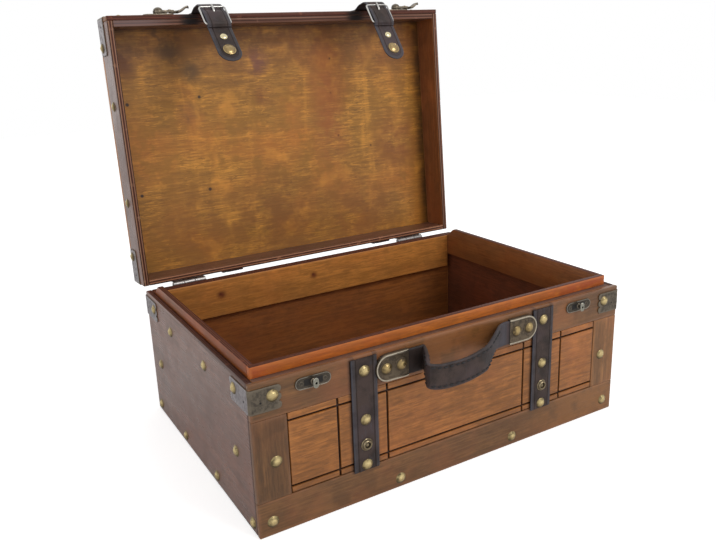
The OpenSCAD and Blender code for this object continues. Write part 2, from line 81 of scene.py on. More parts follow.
def lid_opening():
    """The turn that takes a lid piece from where it lies shut to where it rests open."""
    hinge = next(j for j in frame["joints"] if j["name"] == "lid_hinge")
    pin = Vector(hinge["pos_m"])
    turn = Matrix.Rotation(-math.radians(hinge["range_deg"][1]), 4, Vector(hinge["axis"]))
    return Matrix.Translation(pin) @ turn @ Matrix.Translation(-pin)


LID_OPEN = lid_opening()


def room(node, shut=False):
    """Lowest and highest corner of a solid in millimetres, with the lid shut where that is asked."""
    co = np.array([v.co for v in frame["nodes"][node].data.vertices], float)
    if shut:
        back = np.array(LID_OPEN.inverted())
        co = co @ back[:3, :3].T + back[:3, 3]
    return co.min(0) / MM, co.max(0) / MM


RAIL_LO, RAIL_HI = room("top_rail")
LID_LO, LID_HI = room("lid_front_rail", shut=True)
SIDE = RAIL_HI[0]
FRONT = RAIL_LO[1]
BACK = room("back_wall")[1][1]
RIM = RAIL_HI[2]
LID_Z, LID_TOP = LID_LO[2], LID_HI[2]
STRAP_X = 96.0
STRAP_W = 24.0
STRAP_T = 1.8
BEND_OUT = 5.5
BEND_Z = 113.0
HINGE = Vector((0, 137.0, 130.4))
HINGE_XS = (-146.5, 135.0)
LATCH_XS = (-141.0, 141.0)
LATCH_Z = 139.0
CATCH_Z = 121.5
HANDLE_Z = 115.5
HANDLE_PLATE_END = 86.0
STRAP_NAIL_ZS = (118, 75, 34)
STUD_Z = 52.5
BRACKET_NAIL_Z = 119
LID_BRACKET_NAIL_Z = 157.9
NAIL_D = 10.0
FRONT_FACE = -133.5
LIP_FRONT = -123.0
LINER_FACE = 121.6
LID_CEILING = 164.9
LID_RIM = 131.4


# Sizes and colours that a user would change


class TrunkBoardSettings(bpy.types.PropertyGroup):
    edge_round: FloatProperty(name="Edge rounding", description="Radius of the sanded board edges",
                              default=0.0008, min=0.0002, max=0.002, unit="LENGTH")
    edge_rub: FloatProperty(name="Rubbed edge", description="Width of the rubbed strip along a board's edge",
                            default=0.003, min=0.001, max=0.008, unit="LENGTH")
    groove_width: FloatProperty(name="Groove width", description="Width of the front panel's grooves",
                                default=0.0017, min=0.001, max=0.003, unit="LENGTH")
    groove_depth: FloatProperty(name="Groove depth", description="Depth of the front panel's grooves",
                                default=0.0018, min=0.0006, max=0.003, unit="LENGTH")
    panel_colour: FloatVectorProperty(name="Panel stain", description="Stain of the front panel",
                                      default=tint(172, 108, 48), subtype="COLOR", size=3, min=0, max=1)
    frame_colour: FloatVectorProperty(name="Frame stain", description="Stain of the rails and stiles",
                                      default=tint(124, 84, 46), subtype="COLOR", size=3, min=0, max=1)
    side_colour: FloatVectorProperty(name="Side stain", description="Stain of the side and back boards",
                                     default=tint(116, 72, 52), subtype="COLOR", size=3, min=0, max=1)
    lip_colour: FloatVectorProperty(name="Lip stain", description="Stain of the lip inside the rim",
                                    default=tint(204, 116, 40), subtype="COLOR", size=3, min=0, max=1)
    inner_colour: FloatVectorProperty(name="Inside stain", description="Stain of the lid's inside",
                                      default=tint(206, 142, 54), subtype="COLOR", size=3, min=0, max=1)
    rim_colour: FloatVectorProperty(name="Rim stain", description="Stain of the cut plywood edges",
                                    default=tint(96, 48, 34), subtype="COLOR", size=3, min=0, max=1)


class TrunkLeatherSettings(bpy.types.PropertyGroup):
    colour: FloatVectorProperty(name="Leather", description="Colour of the straps and the handle",
                                default=tint(63, 51, 47), subtype="COLOR", size=3, min=0, max=1)
    edge_colour: FloatVectorProperty(name="Cut edge", description="Colour of the leather's cut edges",
                                     default=tint(76, 80, 90), subtype="COLOR", size=3, min=0, max=1)
    crease: FloatProperty(name="Crease depth", description="Depth of the line pressed along a strap's edges",
                          default=0.0004, min=0, max=0.0006, unit="LENGTH")
    stitch: FloatProperty(name="Stitch spacing", description="Distance between two stitches of the handle",
                          default=0.0052, min=0.002, max=0.008, unit="LENGTH")


class TrunkMetalSettings(bpy.types.PropertyGroup):
    brass: FloatVectorProperty(name="Old brass", description="Rubbed colour of the nails and snap caps",
                               default=tint(214, 192, 138), subtype="COLOR", size=3, min=0, max=1)
    dark: FloatVectorProperty(name="Dark metal", description="Colour of the brackets, catches and hooks",
                              default=tint(118, 108, 94), subtype="COLOR", size=3, min=0, max=1)
    hammer: FloatProperty(name="Hammering", description="How far the hammer marks shift a nail's dome",
                          default=0.00022, min=0, max=0.001, unit="LENGTH")
    sides: IntProperty(name="Nail sides", description="Number of points round a nail's dome",
                       default=20, min=12, max=48)


class TrunkStudioSettings(bpy.types.PropertyGroup):
    sky: FloatProperty(name="Sky", description="Strength of the even light from all around",
                       default=0.62, min=0, max=2)
    key: FloatProperty(name="Key light", description="Strength of the big soft light",
                       default=16.0, min=0, max=200, unit="POWER")
    fill: FloatProperty(name="Fill light", description="Strength of the light on the shaded side",
                        default=4.0, min=0, max=200, unit="POWER")


# Shader building


FINISHES = {}


class Finish:
    """A material that is put together from nodes, with short names for the nodes used most."""

    def __init__(self, name):
        self.material = FINISHES[name] = bpy.data.materials.new("dressed_" + name)
        self.material.use_nodes = True
        self.tree = self.material.node_tree
        self.tree.nodes.clear()
        self.output = self.tree.nodes.new("ShaderNodeOutputMaterial")
        self.shader = self.tree.nodes.new("ShaderNodeBsdfPrincipled")
        self.tree.links.new(self.shader.outputs[0], self.output.inputs["Surface"])
        self.place = self.tree.nodes.new("ShaderNodeTexCoord").outputs["Object"]

    def put(self, socket, value):
        if isinstance(value, bpy.types.NodeSocket):
            self.tree.links.new(value, socket)
        elif socket.type == "RGBA":
            socket.default_value = (*tuple(value)[:3], 1)
        else:
            socket.default_value = value

    def attribute(self, name):
        node = self.tree.nodes.new("ShaderNodeAttribute")
        node.attribute_name = name
        return node.outputs["Fac"]

    def maths(self, operation, a, b=0.0, clamp=False):
        node = self.tree.nodes.new("ShaderNodeMath")
        node.operation = operation
        node.use_clamp = clamp
        self.put(node.inputs[0], a)
        self.put(node.inputs[1], b)
        return node.outputs[0]

    def stretched(self, scale, shift=(0, 0, 0), place=None):
        node = self.tree.nodes.new("ShaderNodeMapping")
        self.put(node.inputs["Vector"], place or self.place)
        node.inputs["Scale"].default_value = scale
        node.inputs["Location"].default_value = shift
        return node.outputs[0]

    def shifted(self, vector, amount):
        node = self.tree.nodes.new("ShaderNodeVectorMath")
        node.operation = "ADD"
        self.put(node.inputs[0], vector)
        self.put(node.inputs[1], amount)
        return node.outputs[0]

    def cloud(self, place, scale, detail=3.0, roughness=0.55, distortion=0.0):
        node = self.tree.nodes.new("ShaderNodeTexNoise")
        self.put(node.inputs["Vector"], place)
        numbers = {"Scale": scale, "Detail": detail, "Roughness": roughness, "Distortion": distortion}
        for key, number in numbers.items():
            node.inputs[key].default_value = number
        return node.outputs["Fac"]

    def cells(self, place, scale, feature="F1"):
        node = self.tree.nodes.new("ShaderNodeTexVoronoi")
        node.feature = feature
        self.put(node.inputs["Vector"], place)
        node.inputs["Scale"].default_value = scale
        return node.outputs["Distance"]

    def between(self, value, low, high, out_low=0.0, out_high=1.0):
        node = self.tree.nodes.new("ShaderNodeMapRange")
        node.interpolation_type = "SMOOTHSTEP"
        self.put(node.inputs["Value"], value)
        numbers = {"From Min": low, "From Max": high, "To Min": out_low, "To Max": out_high}
        for key, number in numbers.items():
            node.inputs[key].default_value = number
        return node.outputs[0]

    def mix(self, share, a, b, way="MIX"):
        node = self.tree.nodes.new("ShaderNodeMix")
        node.data_type = "RGBA"
        node.blend_type = way
        self.put(node.inputs[0], share)
        self.put(node.inputs[6], a)
        self.put(node.inputs[7], b)
        return node.outputs[2]

    def spot(self, centre, radius, soft):
        """1 inside a round spot of that radius, in metres, falling to 0 outside."""
        node = self.tree.nodes.new("ShaderNodeVectorMath")
        node.operation = "DISTANCE"
        self.put(node.inputs[0], self.place)
        node.inputs[1].default_value = centre
        return self.between(node.outputs["Value"], radius * (1 - soft), radius * (1 + soft), 1.0, 0.0)

    def relief(self, height, distance, strength=1.0, under=None):
        node = self.tree.nodes.new("ShaderNodeBump")
        node.inputs["Strength"].default_value = strength
        node.inputs["Distance"].default_value = distance
        self.put(node.inputs["Height"], height)
        if under is not None:
            self.put(node.inputs["Normal"], under)
        return node.outputs[0]

    def finish(self, colour, roughness, normal=None, **numbers):
        self.put(self.shader.inputs["Base Color"], colour)
        self.put(self.shader.inputs["Roughness"], roughness)
        if normal is not None:
            self.put(self.shader.inputs["Normal"], normal)
        for key, value in numbers.items():
            self.shader.inputs[key.replace("_", " ")].default_value = value
        return self.material


def shade(colour, factor):
    return tuple(min(1.0, c * factor) for c in tuple(colour)[:3])


def blend_tint(a, b, share):
    return tuple(x * (1 - share) + y * share for x, y in zip(tuple(a)[:3], tuple(b)[:3]))


def drawn_out(along, across=1):
    """The scales, by axis, that draw a pattern out along the wood's grain, or across it."""
    return {axis: tuple(along if k == axis else across for k in "XYZ") for axis in "XYZ"}


GRAIN, FIBRE, DASH, SCAR, CURL = (drawn_out(0.07), drawn_out(0.018), drawn_out(0.09), drawn_out(0.22),
                                  drawn_out(1, 0.16))
# Painted shade and grime beside given lines, and dirt and painted shade where the corners carry them, darken
# towards these two colours.
GRIME_AND_SHADE = tint(30, 12, 5)
CORNER_DIRT_AND_SHADE = tint(34, 10, 3)
KNOT = tint(38, 20, 12)


def wood(name, colour, along="X", warm=None, streak=0.5, curl=0.0, patches=0.35, gloss=0.42,
         rub=None, grime_and_shade=0.8, coat=0.12, knots=(), stains_and_painted_light=(), dashes=0.5, marks=0.3, shade_and_grime_lines=()):
    """Stained plywood: soft flames and fine fibres along the grain, stain patches, rubbed and dirty edges,
    and painted shade beside given lines, in the corners and in some round spots.
    """
    if name in FINISHES:
        return FINISHES[name]
    f = Finish(name)
    warm = warm or blend_tint(colour, tint(196, 96, 40), 0.5)
    rub = rub or blend_tint(colour, tint(210, 150, 92), 0.45)
    board = f.attribute("cut")
    offset = f.tree.nodes.new("ShaderNodeCombineXYZ")
    for k, number in enumerate((0.73, 0.41, 0.57)):
        f.put(offset.inputs[k], f.maths("MULTIPLY", board, number))
    place = f.shifted(f.place, offset.outputs[0])
    along_grain = f.stretched(GRAIN[along], place=place)
    flames = f.cloud(along_grain, 42, 3, 0.5, 1.1)
    bands = f.cloud(along_grain, 150, 2, 0.6, 0.6)
    fibres = f.cloud(f.stretched(FIBRE[along], place=place), 620, 4, 0.68)
    pores = f.between(f.cloud(f.stretched(FIBRE[along], (3.1, 1.7, 0.9), place), 1500, 2, 0.6), 0.60, 0.70)
    patch = f.cloud(place, 13, 4, 0.6)
    small = f.cloud(place, 48, 3, 0.6)
    tone = f.between(flames, 0.34, 0.66)
    body = f.mix(tone, shade(colour, 0.74), shade(colour, 1.2))
    body = f.mix(f.between(bands, 0.4, 0.64, 0.0, 0.8 * streak), body, shade(colour, 0.55))
    body = f.mix(f.between(fibres, 0.38, 0.62, 0.0, 0.9 * streak), body, shade(colour, 0.58))
    strokes = f.cloud(f.stretched(DASH[along], (0.9, 2.3, 1.4), place), 560, 3, 0.62, 0.4)
    body = f.mix(f.between(strokes, 0.45, 0.62, 0.0, dashes), body, shade(colour, 0.42))
    body = f.mix(f.between(strokes, 0.28, 0.44, 0.55 * dashes, 0.0), body, shade(colour, 1.55))
    scars = f.cloud(f.stretched(SCAR[along], (1.7, 0.6, 2.9), place), 330, 3, 0.7, 0.8)
    body = f.mix(f.between(scars, 0.56, 0.64, 0.0, marks), body, shade(colour, 0.36))
    body = f.mix(f.between(scars, 0.36, 0.44, 0.6 * marks, 0.0), body, shade(colour, 1.4))
    if curl:
        rays = f.cloud(f.stretched(CURL[along], (0.3, 0.2, 0.1), place), 46, 3, 0.55, 0.5)
        body = f.mix(f.between(rays, 0.42, 0.62, 0.0, curl), body, shade(colour, 0.5))
        body = f.mix(f.between(rays, 0.3, 0.44, 0.5 * curl, 0.0), body, shade(colour, 1.35))
    body = f.mix(f.between(patch, 0.42, 0.74, 0.0, patches), body, warm)
    body = f.mix(f.between(small, 0.5, 0.66, 0.0, patches * 0.9), body, shade(colour, 0.5))
    light = f.cloud(place, 26, 3, 0.6, 0.4)
    body = f.mix(f.between(light, 0.55, 0.72, 0.0, patches * 0.55), body, shade(colour, 1.5))
    body = f.mix(f.maths("MULTIPLY", pores, 0.55 * streak), body, shade(colour, 0.34))
    for centre, radius, strength in knots:
        ring = f.maths("MULTIPLY", f.spot(centre, radius * 2.4, 0.7), strength * 0.35)
        body = f.mix(ring, body, shade(colour, 0.42))
        body = f.mix(f.maths("MULTIPLY", f.spot(centre, radius, 0.4), strength), body, KNOT)
    # Round spots of colour: real stains, and painted shade where a spot stands for it.
    for centre, radius, stain, strength in stains_and_painted_light:
        ragged = f.maths("MULTIPLY", f.spot(centre, radius, 0.85), f.between(small, 0.34, 0.56, 0.4, 1.3))
        body = f.mix(f.maths("MULTIPLY", ragged, strength, clamp=True), body, stain)
    # Painted shade and grime beside given lines: the straps' shadows, seams and corners.
    if shade_and_grime_lines:
        broken = f.between(small, 0.3, 0.6, 0.7, 1.0)
        body = f.mix(f.maths("MULTIPLY", shade_and_grime_beside(f, shade_and_grime_lines), broken), body, GRIME_AND_SHADE)
    worn = f.maths("MULTIPLY", f.attribute("wear"), f.between(small, 0.38, 0.62, 0.25, 1.0))
    body = f.mix(f.maths("MULTIPLY", worn, 0.5), body, rub)
    # Dirt, and painted shade in the panel's grooves, under its lower edge and round its seams, darken towards
    # the corner colour.
    dirt = f.maths("MULTIPLY", f.attribute("dirt"), grime_and_shade, clamp=True)
    body = f.mix(dirt, body, CORNER_DIRT_AND_SHADE)
    rough = f.maths("ADD", f.between(fibres, 0.3, 0.7, gloss - 0.05, gloss + 0.08),
                    f.between(small, 0.3, 0.7, -0.05, 0.07))
    grain_height = f.maths("SUBTRACT", f.maths("MULTIPLY", fibres, 0.6), pores)
    normal = f.relief(grain_height, 0.00012, 0.55)
    normal = f.relief(flames, 0.0006, 0.25, normal)
    return f.finish(body, rough, normal, Coat_Weight=coat, Coat_Roughness=0.28, Specular_IOR_Level=0.42)


def shade_and_grime_beside(f, lines):
    """How much painted shade and grime lies beside straight lines. Each is an axis, the line's place along
    it, the side that is shaded, the shade's width and strength, and the height where it stops, or None."""
    axes = f.tree.nodes.new("ShaderNodeSeparateXYZ")
    f.put(axes.inputs[0], f.place)
    grime_and_shade = 0.0
    for axis, line, side, width, strength, low in lines:
        away = f.maths("MULTIPLY", f.maths("SUBTRACT", axes.outputs["XY".index(axis)], line * MM), side)
        here = f.between(away, 0.0, width * MM, strength, 0.0)
        here = f.maths("MULTIPLY", here, f.maths("GREATER_THAN", away, -0.003))
        if low is not None:
            here = f.maths("MULTIPLY", here, f.between(axes.outputs[2], (low - 2) * MM, (low + 1) * MM))
        grime_and_shade = f.maths("ADD", grime_and_shade, here, clamp=True)
    return grime_and_shade


def strap_shade_and_grime_lines():
    """The lines along both edges of the front straps, for the painted shadow and grime on the boards beside
    them.
    """
    low = room("front_straps")[0][2]
    lines = []
    for middle in (-STRAP_X, STRAP_X):
        # Wider and darker on the left of each strap: painted shadow of the strap, with grime on both sides.
        for side, width, strength in ((-1, 4.2, 0.98), (1, 3.0, 0.75)):
            lines.append(("X", middle + side * (STRAP_W / 2 - 0.5), side, width, strength, low))
    return lines


def on_face(axis, depth, marks):
    """Knots, stains and spots of painted shade and painted highlight of a face square to an axis, given in
    millimetres by their two places on it and their radius, as centres and radii in metres."""
    placed = []
    for first, second, radius, *look in marks:
        centre = [first * MM, second * MM]
        centre.insert(axis, depth * MM)
        placed.append((tuple(centre), radius * MM, *look))
    return placed


def layered(name, colour, light, along="X", bands=(0.2, 0.45, 0.72), stains_and_painted_light=(), line=0.09, streak=0.6):
    """A plywood board's cut edge: dark and light layers across its thickness, sealed with dark stain.
    bands are the places of the three dark seams between the layers, and line is a seam's width."""
    if name in FINISHES:
        return FINISHES[name]
    f = Finish(name)
    wander = f.between(f.cloud(f.stretched(GRAIN[along]), 60, 2, 0.5), 0.2, 0.8, -0.05, 0.05)
    across = f.maths("ADD", f.attribute("layer"), wander)
    ramp = f.tree.nodes.new("ShaderNodeValToRGB")
    f.put(ramp.inputs[0], across)
    layers = [(shade(colour, 0.95), shade(colour, 1.15)), (shade(light, 0.9), shade(colour, 0.9)),
              (shade(colour, 1.25), shade(light, 0.8)), (shade(colour, 1.05), shade(colour, 0.8))]
    seam = shade(colour, 0.16)
    points = [(0.0, layers[0][0])]
    for k, middle in enumerate(bands):
        points += [(middle - line, layers[k][1]), (middle - line / 2, seam), (middle + line / 2, seam),
                   (middle + line, layers[k + 1][0])]
    points.append((1.0, layers[3][1]))
    while len(ramp.color_ramp.elements) < len(points):
        ramp.color_ramp.elements.new(0.5)
    for element, (where, col) in zip(ramp.color_ramp.elements, points):
        element.position = clamped(where)
        element.color = (*col, 1)
    streaks = f.cloud(f.stretched(FIBRE[along]), 500, 3, 0.65)
    body = f.mix(f.between(streaks, 0.36, 0.64, 0.0, streak), ramp.outputs[0], shade(colour, 0.5))
    chips = f.between(f.cloud(f.place, 120, 3, 0.6), 0.60, 0.72)
    body = f.mix(f.maths("MULTIPLY", chips, 0.4), body, light)
    body = f.mix(f.maths("MULTIPLY", f.attribute("dirt"), 0.7), body, tint(26, 13, 8))
    # Round spots laid over the layers, used for painted shadows and a painted reflection.
    for centre, radius, stain, strength in stains_and_painted_light:
        body = f.mix(f.maths("MULTIPLY", f.spot(centre, radius, 0.7), strength), body, stain)
    rough = f.between(streaks, 0.3, 0.7, 0.5, 0.66)
    height = f.maths("ADD", f.maths("MULTIPLY", streaks, streak / 0.6), across)
    normal = f.relief(height, 0.00018, 0.6)
    return f.finish(body, rough, normal, Specular_IOR_Level=0.25)


def leather(name, colour, edge, scuff=0.3):
    """Coated leather: fine pebbled grain, faint creases, paler cut edges, painted highlight and painted shade
    where the corners carry them, and a dull shine.
    """
    if name in FINISHES:
        return FINISHES[name]
    f = Finish(name)
    pebbles = f.cells(f.place, 1150)
    creases = f.cells(f.stretched((1, 1, 0.6)), 420, "DISTANCE_TO_EDGE")
    mottle = f.cloud(f.place, 70, 4, 0.6)
    wide = f.cloud(f.place, 18, 3, 0.55)
    body = f.mix(f.between(mottle, 0.34, 0.66), shade(colour, 0.55), shade(colour, 1.3))
    body = f.mix(f.between(wide, 0.45, 0.62, 0.0, 0.6), body, blend_tint(colour, tint(84, 70, 76), 0.6))
    scuffs = f.cloud(f.stretched((1, 1, 0.25), (0.7, 0.2, 0.5)), 300, 3, 0.6)
    body = f.mix(f.between(scuffs, 0.58, 0.72, 0.0, scuff), body, shade(edge, 1.1))
    body = f.mix(f.between(pebbles, 0.0, 0.5, 0.35, 0.0), body, shade(colour, 0.5))
    # Lighter towards the edge colour where corners carry wear, and the painted sheen and highlights of the
    # straps and handle.
    worn = f.maths("MULTIPLY", f.attribute("wear"), f.between(mottle, 0.3, 0.65, 0.5, 1.0))
    body = f.mix(f.maths("MULTIPLY", worn, 0.9), body, edge)
    # Darker where the corners carry dirt, and painted shade where the handle enters its plates and on its
    # flat end.
    body = f.mix(f.maths("MULTIPLY", f.attribute("dirt"), 0.85), body, shade(colour, 0.2))
    rough = f.maths("ADD", f.between(mottle, 0.3, 0.7, 0.44, 0.60), f.between(wide, 0.4, 0.7, 0.0, -0.06))
    height = f.maths("ADD", f.maths("MULTIPLY", pebbles, 0.6), f.between(creases, 0.0, 0.08, 0.0, 0.5))
    normal = f.relief(height, 0.00016, 0.6)
    return f.finish(body, rough, normal, Specular_IOR_Level=0.22)


def metal(name, bright, dark, patina=0.5, rough=(0.26, 0.5), dents=0.35, base=0.9, grain=260):
    """Aged metal: dark patina in the hollows, rubbed bright where it stands proud, and painted shade and
    painted highlight where the corners carry them.
    """
    if name in FINISHES:
        return FINISHES[name]
    f = Finish(name)
    stain = f.cloud(f.place, grain, 4, 0.62)
    spots = f.cloud(f.stretched((1, 1, 1), (0.31, 0.17, 0.05)), 900, 3, 0.65)
    # Patina is rubbed away where corners carry wear, and lighter where they carry the nails' painted
    # highlight.
    worn = f.attribute("wear")
    cover = f.maths("SUBTRACT", f.between(stain, 0.36, 0.64, 0.15, 1.0), worn, clamp=True)
    cover = f.maths("MULTIPLY", cover, patina)
    # Darker where the corners carry patina in hollows, and the painted shade on the nails' lower halves and
    # skirts.
    cover = f.maths("MAXIMUM", cover, f.maths("MULTIPLY", f.attribute("dirt"), 0.92))
    body = f.mix(f.between(stain, 0.3, 0.7), shade(bright, 0.82), shade(bright, 1.1))
    body = f.mix(cover, body, dark)
    body = f.mix(f.between(spots, 0.58, 0.7, 0.0, 0.35 * patina), body, shade(dark, 0.6))
    shine = f.between(cover, 0.0, 0.9, rough[0], rough[1])
    normal = f.relief(stain, 0.0004, dents)
    normal = f.relief(spots, 0.00006, dents, normal)
    metalness = f.between(cover, 0.2, 1.0, base, base * 0.55)
    f.put(f.shader.inputs["Metallic"], metalness)
    return f.finish(body, shine, normal)


def old_brass():
    s = bpy.context.scene.trunk_metal
    return metal("old_brass", s.brass, tint(62, 48, 22), 0.95, (0.18, 0.46), 0.4, grain=180)


def aged_brass():
    return metal("aged_brass", tint(142, 128, 102), tint(46, 40, 34), 0.85, (0.28, 0.5), 0.3)


def dull_brass():
    return metal("dull_brass", tint(178, 154, 106), tint(58, 44, 24), 0.95, (0.22, 0.5), 0.4, grain=180)


def snap_brass():
    return metal("snap_brass", tint(176, 152, 106), tint(72, 52, 32), 0.85, (0.2, 0.42), 0.12, grain=95)


def pale_rivet():
    return metal("pale_rivet", tint(226, 212, 172), tint(120, 104, 70), 0.5, (0.2, 0.4), 0.2, grain=120)


def dark_metal():
    s = bpy.context.scene.trunk_metal
    return metal("dark_metal", s.dark, tint(42, 36, 30), 0.85, (0.28, 0.58), 1.0, 0.8)


# A lighter lavender copy of the dark metal for the bracket side legs' outer faces: painted sheen.
def side_sheen_metal():
    return metal("side_sheen_metal", tint(150, 142, 144), tint(82, 76, 78), 0.7, (0.26, 0.5), 0.7, 0.7)


def aged_plate():
    return metal("aged_plate", tint(122, 108, 90), tint(52, 42, 32), 0.95, (0.28, 0.52), 0.6, 0.85)


def bright_rim():
    return metal("bright_rim", tint(184, 174, 156), tint(84, 76, 62), 0.5, (0.18, 0.34), 0.2)


def polished_edge():
    return metal("polished_edge", tint(150, 144, 134), tint(60, 54, 44), 0.7, (0.2, 0.4), 0.3)


def steel():
    return metal("bright_steel", tint(200, 198, 194), tint(96, 94, 92), 0.4, (0.14, 0.3), 0.15, 1.0)


def dull_steel():
    return metal("dull_steel", tint(158, 156, 144), tint(76, 72, 60), 0.7, (0.24, 0.45), 0.3, grain=160)


def hinge_steel():
    return metal("hinge_steel", tint(142, 138, 136), tint(58, 54, 50), 0.6, (0.26, 0.5), 0.4)


# Near black, for flat discs drawn where a hole is: painted shade in the hole.
def hole_shade_metal():
    return metal("painted_hole_shade", tint(34, 30, 28), tint(12, 10, 9), 0.8, (0.6, 0.8), 0.4, 0.3)


def strap_leather():
    s = bpy.context.scene.trunk_leather
    return leather("strap_leather", s.colour, s.edge_colour)


def thread():
    f = Finish("thread")
    twist = f.cloud(f.place, 1400, 2, 0.5)
    body = f.mix(f.between(twist, 0.35, 0.65), tint(12, 11, 13), tint(30, 28, 32))
    return f.finish(body, 0.7, f.relief(twist, 0.0002, 0.6))


# Mesh building, in millimetres


class Shape:
    """Corners and faces in millimetres, with each corner's wear and painted highlight, dirt and painted
    shade, and place in a plywood edge.
    """

    def __init__(self):
        self.corners, self.faces, self.kinds = [], [], []
        self.wear, self.dirt, self.layer = [], [], []

    def add(self, corners, faces, kind=0, wear=None, dirt=None, layer=None, place=None):
        n = len(corners)
        start = len(self.corners)
        if place is not None:
            corners = [place @ Vector(c) for c in corners]
        self.corners += [tuple(c) for c in corners]
        self.faces += [tuple(start + i for i in face) for face in faces]
        self.kinds += list(kind) if isinstance(kind, (list, tuple)) else [kind] * len(faces)
        for store, given in ((self.wear, wear), (self.dirt, dirt), (self.layer, layer)):
            if given is None:
                given = 0.0
            store += list(given) if hasattr(given, "__len__") else [given] * n

    def include(self, other, place=None):
        self.add(other.corners, other.faces, other.kinds, other.wear, other.dirt, other.layer, place)

    def make(self, name, finishes, place=None, cut=0.0, sharp=38):
        mesh = bpy.data.meshes.new(name)
        mesh.from_pydata([(x * MM, y * MM, z * MM) for x, y, z in self.corners], [], self.faces)
        mesh.validate()
        own = [cut] * len(self.corners)
        for key, values in (("wear", self.wear), ("dirt", self.dirt), ("layer", self.layer), ("cut", own)):
            mesh.attributes.new(key, "FLOAT", "POINT").data.foreach_set("value", np.array(values, np.float32))
        for finish in finishes:
            mesh.materials.append(finish)
        mesh.polygons.foreach_set("material_index", self.kinds)
        tidy = bmesh.new()
        tidy.from_mesh(mesh)
        bmesh.ops.recalc_face_normals(tidy, faces=tidy.faces)
        tidy.to_mesh(mesh)
        tidy.free()
        mesh.shade_smooth()
        mesh.set_sharp_from_angle(angle=math.radians(sharp))
        piece = bpy.data.objects.new(name, mesh)
        bpy.context.scene.collection.objects.link(piece)
        if place is not None:
            piece.matrix_world = place
        return piece


AXES = {"X": lambda a, b, h: (h, a, b), "Y": lambda a, b, h: (a, h, b), "Z": lambda a, b, h: (a, b, h)}


def prism(outline, low, high, along="Z"):
    """A mesh that raises an outline along an axis, from one height to another."""
    bm = bmesh.new()
    lower, upper = [[bm.verts.new(AXES[along](a, b, h)) for a, b in outline] for h in (low, high)]
    bm.faces.new(lower)
    bm.faces.new(upper)
    n = len(outline)
    for i in range(n):
        bm.faces.new((lower[i], lower[(i + 1) % n], upper[(i + 1) % n], upper[i]))
    bmesh.ops.recalc_face_normals(bm, faces=bm.faces)
    return bm


def round_off(bm, edges, radius, steps=2):
    bmesh.ops.bevel(bm, geom=edges, offset=radius, segments=steps, profile=0.5, affect="EDGES",
                    clamp_overlap=True)


def level_edges(bm):
    """The edges round a plate's lower and upper face."""
    return [e for e in bm.edges if abs(e.verts[0].co.z - e.verts[1].co.z) < 0.01]


def divide(bm, places, axis):
    """Cuts the faces across at places along an axis, so that the plate can be bent there."""
    for place in places:
        way = Vector([float(k == axis) for k in range(3)])
        everything = bm.verts[:] + bm.edges[:] + bm.faces[:]
        bmesh.ops.bisect_plane(bm, geom=everything, plane_co=way * place, plane_no=way)


def numbered_faces(bm):
    return [tuple(v.index for v in f.verts) for f in bm.faces]


def slab(outline, low, high, along="Z", edge=0.8, rub=3.0, steps=2, sides=None, thick=None):
    """A flat board or plate cut to an outline, with rounded edges. Returns a Shape.
    sides gives the material number of the faces that look a way, such as {"-x": 1}, and thick the number of
    the axis across the board's layers. Faces over 2.6 times as wide as rub get a rubbed border that wide."""
    bm = prism(outline, low, high, along)
    round_off(bm, [e for e in bm.edges if e.calc_face_angle(0) > math.radians(28)], edge, steps)
    inner = set()
    if rub:
        flat = [f for f in bm.faces if len(f.verts) == 4
                and min(e.calc_length() for e in f.edges) > 2.6 * rub]
        if flat:
            bmesh.ops.inset_individual(bm, faces=flat, thickness=rub)
            inner = {v for f in flat for v in f.verts}
    bm.normal_update()
    bm.verts.index_update()
    kinds = []
    for f in bm.faces:
        axis = max(range(3), key=lambda k: abs(f.normal[k]))
        way = ("+" if f.normal[axis] > 0 else "-") + "xyz"[axis]
        kinds.append((sides or {}).get(way, 0))
    corners = [tuple(v.co) for v in bm.verts]
    wear = [(0.0 if v in inner else 1.0) if inner else 0.35 for v in bm.verts]
    layer = None
    if thick is not None:
        values = [c[thick] for c in corners]
        lo, hi = min(values), max(values)
        layer = [(v - lo) / (hi - lo) for v in values]
    shape = Shape()
    shape.add(corners, numbered_faces(bm), kinds, wear, None, layer)
    bm.free()
    return shape


def rectangle(x_lo, x_hi, y_lo, y_hi):
    return [(x_lo, y_lo), (x_hi, y_lo), (x_hi, y_hi), (x_lo, y_hi)]


def board(lo, hi, edge=0.8, rub=3.0, sides=None, thick=None, steps=2):
    return slab(rectangle(lo[0], hi[0], lo[1], hi[1]), lo[2], hi[2], "Z", edge, rub, steps, sides, thick)


def joined_rings(rings, n, closed=False):
    """Faces between rings of n corners that follow each other, and one over each end if it isn't closed."""
    faces = []
    for i in range(rings if closed else rings - 1):
        j = (i + 1) % rings
        faces += [(i * n + k, i * n + (k + 1) % n, j * n + (k + 1) % n, j * n + k) for k in range(n)]
    if not closed:
        faces += [tuple(range(n)), tuple((rings - 1) * n + k for k in range(n))]
    return faces


def ringed(rings, kinds, wear, dirt, usual_wear):
    """A shape from rings of corners, with a material number, a wear-and-highlight and a dirt-and-shade value
    for each ring.
    """
    n = len(rings[0])
    faces = joined_rings(len(rings), n)
    kind = 0
    if kinds:
        kind = [kinds[i] for i in range(len(rings) - 1) for _ in range(n)] + [kinds[0], kinds[-1]]
    worn = [wear[i] if wear else usual_wear for i in range(len(rings)) for _ in range(n)]
    dirty = [dirt[i] if dirt else 0.0 for i in range(len(rings)) for _ in range(n)]
    shape = Shape()
    shape.add([c for ring in rings for c in ring], faces, kind, worn, dirty)
    return shape


